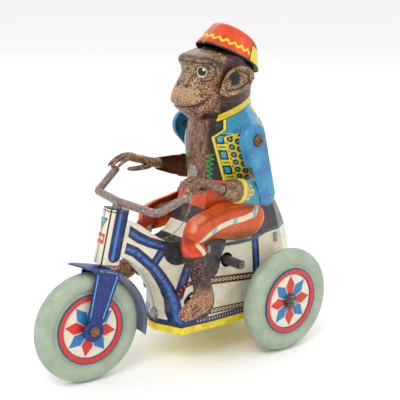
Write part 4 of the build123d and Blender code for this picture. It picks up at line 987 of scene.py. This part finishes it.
# ---------------------------------------------------------------- thighs
THIGH_EDGE = [(3.8, 43.4), (3.3, 46.3), (1.5, 48.6), (-2.2, 50.0), (-7.1, 50.9), (-11.3, 51.8),
              (-17.0, 51.6), (-22.0, 51.2), (-26.4, 50.4), (-29.2, 47.8), (-29.6, 44.6), (-28.2, 41.8),
              (-26.0, 39.6), (-23.2, 38.3), (-19.4, 38.0), (-15.6, 38.8), (-11.6, 40.0), (-7.3, 40.9),
              (-2.6, 40.4), (1.8, 40.8)]
TROUSER_STRIPE = [(-24.9, 49.6), (-22.4, 47.5), (-17.8, 46.8), (-12.6, 46.7), (-7.6, 46.0), (-3.5, 44.4),
                  (-0.6, 42.6), (1.2, 40.2)]
THIGH_SPINE = [(-24.0, 44.6), (-17.0, 45.0), (-10.0, 46.0), (-3.6, 45.8), (-0.4, 45.0)]
# Share of the way from spine to edge, and distance out from the housing.
THIGH_PROFILE = [(0.0, 5.3), (0.15, 5.25), (0.3, 5.1), (0.45, 4.8), (0.6, 4.3), (0.72, 3.7), (0.82, 3.0),
                 (0.9, 2.2), (0.95, 1.5), (0.985, 0.8), (1.0, 0.0), (0.98, -0.1)]


def nearest_on(points, x, z):
    """The nearest point of a line to x and z."""
    best = None
    for (ax, az), (bx, bz) in zip(points, points[1:]):
        part = ((x - ax) * (bx - ax) + (z - az) * (bz - az)) / ((bx - ax) ** 2 + (bz - az) ** 2)
        part = min(max(part, 0.0), 1.0)
        px, pz = ax + part * (bx - ax), az + part * (bz - az)
        if best is None or hypot(x - px, z - pz) < best[0]:
            best = (hypot(x - px, z - pz), px, pz)
    return best[1], best[2]


def thigh_mesh(sign):
    """Rounded trouser leg that bulges out from the housing."""
    edge = curve(THIGH_EDGE, EDGE_PARTS, closed=True)
    rows = []
    for share, height in THIGH_PROFILE:
        ring = []
        for x, z in edge:
            sx, sz = nearest_on(THIGH_SPINE, x, z)
            px, pz = sx + (x - sx) * share, sz + (z - sz) * share
            root = 9.9 + 0.05 * max(px + 10, 0)
            ring.append((px, sign * (root + height), pz))
        rows.append(ring)
    return skin(rows, sign > 0)


def trouser_print():
    """Orange trousers with brown painted shade along the lower rear and a cream stripe with light blue
    parts.
    """
    net = Net("trouser_print")
    x, z = net.axes()[::2]
    cloth = net.mix(net.specks(0.42, 0.62, 0.3, 4) * 0.6, tone(206, 82, 28), tone(170, 60, 22))
    # Brown towards the lower rear edge of the thigh: painted shade under the bulge.
    low = net.line((-28.0, 38.6), (-22.0, 38.4), (-16.0, 39.4)) + net.noise(0.5, 4) * 3.0
    cloth.lay(net.ramp(low, 3.2, 6.4, 0.9, 0.0), tone(112, 66, 34))
    crease = net.within(net.line((-20.0, 42.5), (-9.0, 43.0), (-2.0, 43.2)), 1.4, 0.4)
    patch = net.specks(0.5, 0.56, 0.45, 3) * crease
    cloth.lay(patch * 0.75, tone(150, 82, 40))
    stripe = net.line(*TROUSER_STRIPE)
    cloth.lay(net.within(stripe, 0.85, 0.1), tone(216, 206, 172))
    along = net.fold(x + z * 0.3, 4.2)
    cloth.lay(net.within(stripe, 0.8, 0.1) * net.within(along, 0.85, 0.15), tone(96, 180, 184))
    shine = net.within(net.line((2.6, 45.8), (1.0, 48.2), (-2.6, 49.4)), 0.45, 0.3) * 0.5
    cloth.lay(shine, tone(240, 170, 140))
    specks = net.specks(0.69, 0.72, 2.6, 2, 0.7)
    cloth.lay(specks, tone(240, 196, 130))
    aged(net, cloth, 0.1, 0.6)
    return net.finish(cloth, (0.8, 3, 0.22, 0.4), 0.55, ((0.3, 0.16), (2.4, 0.03)))


TROUSERS = trouser_print()
for side, sign in SIDES.items():
    make_piece(side + "_thigh_pressing", thigh_mesh(sign), "body", TROUSERS,
               [side + "_thigh", side + "_knee_pin"])


# ---------------------------------------------------------------- lower legs
# Each ring: x and z of the middle, half width, depth, distance out, and lean of the ring in degrees.
SHIN_RINGS = [(0.2, 46.4, 0.3, 0.3, 11.4, 0), (0.2, 46.0, 2.2, 0.8, 11.4, 0),
              (0.5, 45.0, 3.2, 1.2, 11.5, 0), (1.0, 43.4, 4.0, 1.5, 11.6, 0),
              (1.6, 41.4, 4.3, 2.3, 12.5, 0), (1.9, 39.6, 4.35, 2.8, 13.8, 0),
              (2.0, 38.6, 4.3, 2.9, 14.2, 0), (2.0, 38.3, 3.7, 2.6, 14.3, 0),
              (2.0, 36.0, 3.6, 2.7, 15.2, 0), (2.0, 33.0, 3.4, 2.6, 16.6, 0),
              (2.0, 30.4, 3.3, 2.5, 17.8, 0), (2.1, 28.4, 3.5, 2.4, 18.7, 8),
              (2.6, 26.8, 4.2, 2.5, 19.4, 22), (3.3, 25.6, 4.3, 2.4, 19.8, 42),
              (4.4, 24.8, 4.0, 2.3, 20.0, 60), (6.4, 24.1, 3.4, 2.3, 20.2, 72),
              (8.6, 23.3, 2.8, 2.3, 20.3, 78), (10.4, 22.6, 2.1, 2.2, 20.3, 82),
              (11.6, 22.2, 1.2, 1.7, 20.3, 84), (12.1, 22.1, 0.3, 0.5, 20.3, 84)]
LEG_ROUND = 48
TOE_ROOT = 6.0
CUFF_EDGE = 38.35


def leg_mesh(sign):
    """Shin with the foot that rests on the pedal; grooves part the toes."""
    rows = []
    for x, z, half, depth, out, lean in curve(SHIN_RINGS, 4):
        turn = radians(lean)
        ring = []
        for angle in round_steps(LEG_ROUND):
            groove = 1.0
            if x > TOE_ROOT and lean > 60:
                depth_share = min(1.0, (x - TOE_ROOT) / 2.5)
                groove -= 0.16 * depth_share * max(0.0, cos(9 * angle)) * max(0.0, sin(angle))
            across = half * cos(angle) * groove
            ring.append((x + across * cos(turn), sign * (out + depth * sin(angle) * groove),
                         z + across * sin(turn)))
        rows.append(ring)
    return skin(rows, sign > 0)


def leg_print():
    """Orange cuff with a cream stripe over a dark speckled shin and a lighter foot."""
    net = Net("leg_print")
    x, y, z = net.axes()
    dark = net.mix(net.specks(0.38, 0.62, 0.5, 4), tone(44, 26, 24), tone(22, 16, 18))
    dark.lay(net.specks(0.57, 0.61, 1.8, 3, 0.75), tone(160, 104, 76))
    tan = net.mix(net.specks(0.38, 0.62, 0.5, 4), tone(196, 146, 98), tone(160, 112, 74))
    tan.lay(net.specks(0.5, 0.54, 1.8, 3, 0.75), tone(50, 28, 22))
    level = z + net.noise(0.8, 4) * 5.0
    colour = net.mix(net.ramp(level, 29.0, 33.0), tan, dark)
    toes = net.within(net.fold(abs(y) + z * 0.2, 0.62), 0.1, 0.07) * net.beyond(x, 7.2, 0.6)
    colour.lay(toes * 0.8, tone(70, 38, 30))
    bone = net.within(net.fold(z + x * 0.7, 1.2), 0.13, 0.08)
    on_foot = net.beyond(x, 3.0, 0.6) * net.within(z, 25.5, 0.8)
    colour.lay(bone * on_foot * 0.55, tone(90, 52, 38))
    orange = net.mix(net.specks(0.4, 0.62, 0.35, 4), tone(212, 70, 28), tone(176, 50, 24))
    orange.lay(net.within(net.line((1.2, 41.4), (0.2, 39.6), (-0.1, 37.0)), 0.85, 0.1), tone(214, 204, 176))
    # Darker red on the cuff's top, where it tucks behind the thigh: painted shade.
    orange.lay(net.beyond(z, 42.0, 0.8), tone(150, 36, 26))
    colour.lay(net.beyond(z, CUFF_EDGE, 0.05), orange)
    colour.lay(net.within(abs(z - CUFF_EDGE), 0.2, 0.06), tone(70, 30, 26))
    aged(net, colour, 0.1, 0.5)
    return net.finish(colour, (0.8, 3, 0.25, 0.42), 0.5, ((0.5, 0.1), (2.4, 0.05)))


LEG = leg_print()
for side, sign in SIDES.items():
    lower_leg = side + "_lower_leg"
    make_piece(side + "_shin_and_foot", leg_mesh(sign), lower_leg, LEG, [lower_leg])


# ---------------------------------------------------------------- shoulder rivets
# Radius, and height below the top of the rolled head.
EYELET = [(0.55, -0.9), (0.6, -0.3), (0.8, -0.05), (1.05, 0.0), (1.35, -0.04), (1.75, -0.3), (2.0, -0.65),
          (2.05, -0.95), (1.9, -1.1), (0.55, -1.1)]
SHOULDER = (-19.4, 16.4, 72.6)
SHOULDER_TURN = radians(10)
EYELET_STEPS = 40


def eyelet_mesh(side, sign):
    """Rolled brass head on the outer end of a shoulder rivet."""
    low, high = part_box(side + "_shoulder_rivet")
    end = max(abs(low[1]), abs(high[1])) / MM
    normal = Vector((-sin(SHOULDER_TURN), sign * cos(SHOULDER_TURN), 0))
    across = Vector((cos(SHOULDER_TURN), sign * sin(SHOULDER_TURN), 0))
    x, y, z = SHOULDER
    head = Vector((x, sign * y, z)) + normal * (0.25 + (end - y) / cos(SHOULDER_TURN))
    return skin([oval(head + normal * height, across * reach, UP * reach, EYELET_STEPS)
                 for reach, height in EYELET])


EYELET_METAL = worn_metal("eyelet_metal", tone(120, 96, 66), tone(70, 50, 38), 1.6, 0.6, 0.6)
for side, sign in SIDES.items():
    make_piece(side + "_shoulder_eyelet", eyelet_mesh(side, sign), "body", EYELET_METAL)


# ---------------------------------------------------------------- forearms and hands
ARM_YAW = radians(10.0)
FORE_TILT = {"left": radians(14.18), "right": radians(8.42)}
# Each ring of the sleeve: distance from the elbow, half width, depth and lift of the half round.
SLEEVE = [(-3.2, 2.2, 0.9, -0.9), (-2.2, 3.1, 1.2, -0.9), (0.0, 3.8, 1.6, -0.9), (5.0, 3.9, 1.7, -0.9),
          (9.0, 3.95, 1.9, -0.9), (12.0, 4.0, 2.8, -0.8), (14.6, 4.0, 3.5, -0.6), (15.4, 3.95, 3.6, -0.6),
          (15.6, 3.5, 3.2, -0.5), (18.0, 3.3, 3.1, -0.4), (21.0, 2.7, 2.8, -0.2), (24.0, 2.1, 2.4, 0.0)]
# Each ring of the palm: distance, height, half thickness above and below, and half breadth.
PALM = [(22.0, 0.0, 1.2, 1.0, 1.2), (23.2, 0.0, 1.9, 1.5, 2.0), (26.0, 0.1, 1.9, 1.4, 2.4),
        (29.0, 0.5, 1.9, 1.2, 2.8), (31.5, 0.9, 1.75, 1.0, 3.2), (33.2, 1.0, 1.5, 0.9, 3.2),
        (34.4, 1.0, 1.0, 0.6, 2.8), (34.9, 1.0, 0.2, 0.2, 1.6)]
# Each knuckle of a finger: distance, height and radius.
FINGER = [(30.5, 1.5, 0.3), (31.2, 1.6, 0.8), (33.5, 2.0, 0.92), (35.5, 2.0, 0.84), (37.4, 1.5, 0.86),
          (39.0, 0.5, 0.76), (40.3, -0.7, 0.68), (41.0, -1.6, 0.5), (41.2, -1.9, 0.08)]
# Each digit: distance out of the arm at its root, spread, and further length.
FINGERS = [(-2.5, -0.2, -0.8), (-0.85, -0.05, 0.3), (0.85, 0.12, 0.3), (2.2, 0.1, -1.2)]
THUMB = [(27.0, -0.4, 0.3), (28.0, -0.6, 0.8), (30.5, -1.1, 0.95), (33.0, -1.6, 0.85), (35.0, -1.8, 0.72),
         (36.0, -1.8, 0.4), (36.2, -1.8, 0.06)]
THUMB_PLACE = (-2.4, -0.05, 0.0)
KNUCKLES = 30.5             # distance of the knuckles from the elbow
TIN = 0.3                   # thickness of the sleeve's sheet
SLEEVE_STEPS = 32
HAND_ROUND = 48
FINGER_ROUND = 16
WRIST = 15.5
CUFF_START = 12.5
SLEEVE_RINGS = ((10.4, 1.5), (10.4, -1.3), (8.6, 0.1), (12.0, 0.2))


def arm_frame(side):
    """Elbow, and the directions along the forearm, up and out of it."""
    sign = SIDES[side]
    elbow = Vector(JOINTS[side + "_elbow_bend"]["pos_m"]) / MM
    tilt = FORE_TILT[side]
    along = Vector((cos(tilt) * cos(ARM_YAW), sign * cos(tilt) * sin(ARM_YAW), sin(tilt)))
    out = Vector((-sin(ARM_YAW), sign * cos(ARM_YAW), 0))
    up = Vector((-sin(tilt) * cos(ARM_YAW), -sign * sin(tilt) * sin(ARM_YAW), cos(tilt)))
    return elbow, along, up, out


def sleeve_mesh(side):
    """Half round sleeve with a real sheet thickness, hollow towards the body."""
    elbow, along, up, out = arm_frame(side)
    rows = []
    for distance, half, depth, lift in curve(SLEEVE, 4):
        outer, inner = [], []
        for step in range(SLEEVE_STEPS + 1):
            angle = pi * (step / SLEEVE_STEPS - 0.5)
            base = elbow + along * distance + out * lift
            outer.append(tuple(base + up * (half * sin(angle)) + out * (depth * cos(angle))))
            inside = max(depth - TIN, 0.1) * cos(angle)
            inner.append(tuple(base + up * ((half - TIN) * sin(angle)) + out * inside))
        rows.append(outer + inner[::-1])
    return skin(rows, side == "left")


def joined(parts):
    """One mesh from several."""
    verts, faces = [], []
    for part_verts, part_faces in parts:
        faces += [tuple(index + len(verts) for index in face) for face in part_faces]
        verts += part_verts
    return verts, faces


def hand_mesh(side):
    """Hand with a thumb and four fingers bent over the end of the handlebar."""
    elbow, along, up, out = arm_frame(side)
    rows = []
    for distance, height, above, below, breadth in curve(PALM, 5):
        ring = []
        for angle in round_steps(HAND_ROUND):
            thick = above if sin(angle) > 0 else below
            centre = elbow + along * distance + up * height
            ring.append(tuple(centre + up * (thick * sin(angle)) + out * (breadth * cos(angle))))
        rows.append(ring)
    parts = [skin(rows, side == "right")]
    digits = [(FINGER, *digit) for digit in FINGERS] + [(THUMB, *THUMB_PLACE)]
    for knuckles, start, fan, length in digits:
        rows = []
        for distance, height, radius in curve(knuckles, 4):
            share = max(distance - KNUCKLES, 0) / 10
            centre = elbow + along * (distance + length * share) + up * height
            centre += out * (start + 3 * fan * share)
            rows.append(oval(centre, out * (0.95 * radius), up * radius, FINGER_ROUND))
        parts.append(skin(rows, side == "right"))
    return joined(parts)


def sleeve_print(side):
    """Teal sleeve with yellow loops and cuff, then the speckled wrist; dull brown inside."""
    net = Net(side + "_sleeve_print")
    elbow, along, up, out = arm_frame(side)
    run = net.reach(elbow, along)
    rise = net.reach(elbow, up)
    cloth = net.mix(net.specks(0.4, 0.62, 1.2, 4), tone(44, 140, 172), tone(30, 108, 140))
    for centre, height in SLEEVE_RINGS:
        ring = net.length(run - centre, rise - height)
        for half, fill in ((0.52, INK), (0.34, YELLOW)):
            cloth.lay(net.within(abs(ring - 0.9), half, 0.06), fill)
    cloth.lay(net.beyond(run, CUFF_START - 0.2, 0.05), tone(30, 120, 70))
    cloth.lay(net.beyond(run, CUFF_START, 0.05), YELLOW)
    cloth.lay(net.within(abs(run - CUFF_START - 0.8), 0.13, 0.05), tone(40, 150, 90))
    fur = net.mix(net.specks(0.38, 0.62, 0.5, 4), tone(164, 124, 92), tone(112, 76, 56))
    fur.lay(net.specks(0.49, 0.53, 1.7, 3, 0.75), tone(50, 34, 28))
    fur.lay(net.specks(0.6, 0.66, 2.8, 2, 0.7, shift=(9, 1, 4)), tone(206, 172, 132))
    colour = net.mix(net.beyond(run, WRIST, 0.05), cloth, fur)
    lines = net.within(net.fold(rise + run * 0.08, 0.75), 0.1, 0.06) * net.beyond(run, 27, 1.0)
    colour.lay(lines * 0.6, tone(80, 50, 36))
    brown = net.mix(net.specks(0.4, 0.62, 0.5, 4), tone(96, 60, 40), tone(70, 42, 28))
    geometry = net.node("NewGeometry")
    facing = net.vec("DOT_PRODUCT", geometry.outputs["True Normal"], out)
    inside = net.within(facing, -0.12, 0.04) * net.within(run, 23.5, 0.2)
    colour.lay(inside, brown)
    return net.finish(colour, (0.9, 3, 0.26, 0.45), 0.45, ((0.6, 0.1), (2.4, 0.05)))


for side in SIDES:
    forearm = side + "_forearm"
    arm_tin = sleeve_print(side)
    make_piece(side + "_sleeve", sleeve_mesh(side), forearm, arm_tin, [forearm])
    make_piece(side + "_hand", hand_mesh(side), forearm, arm_tin)
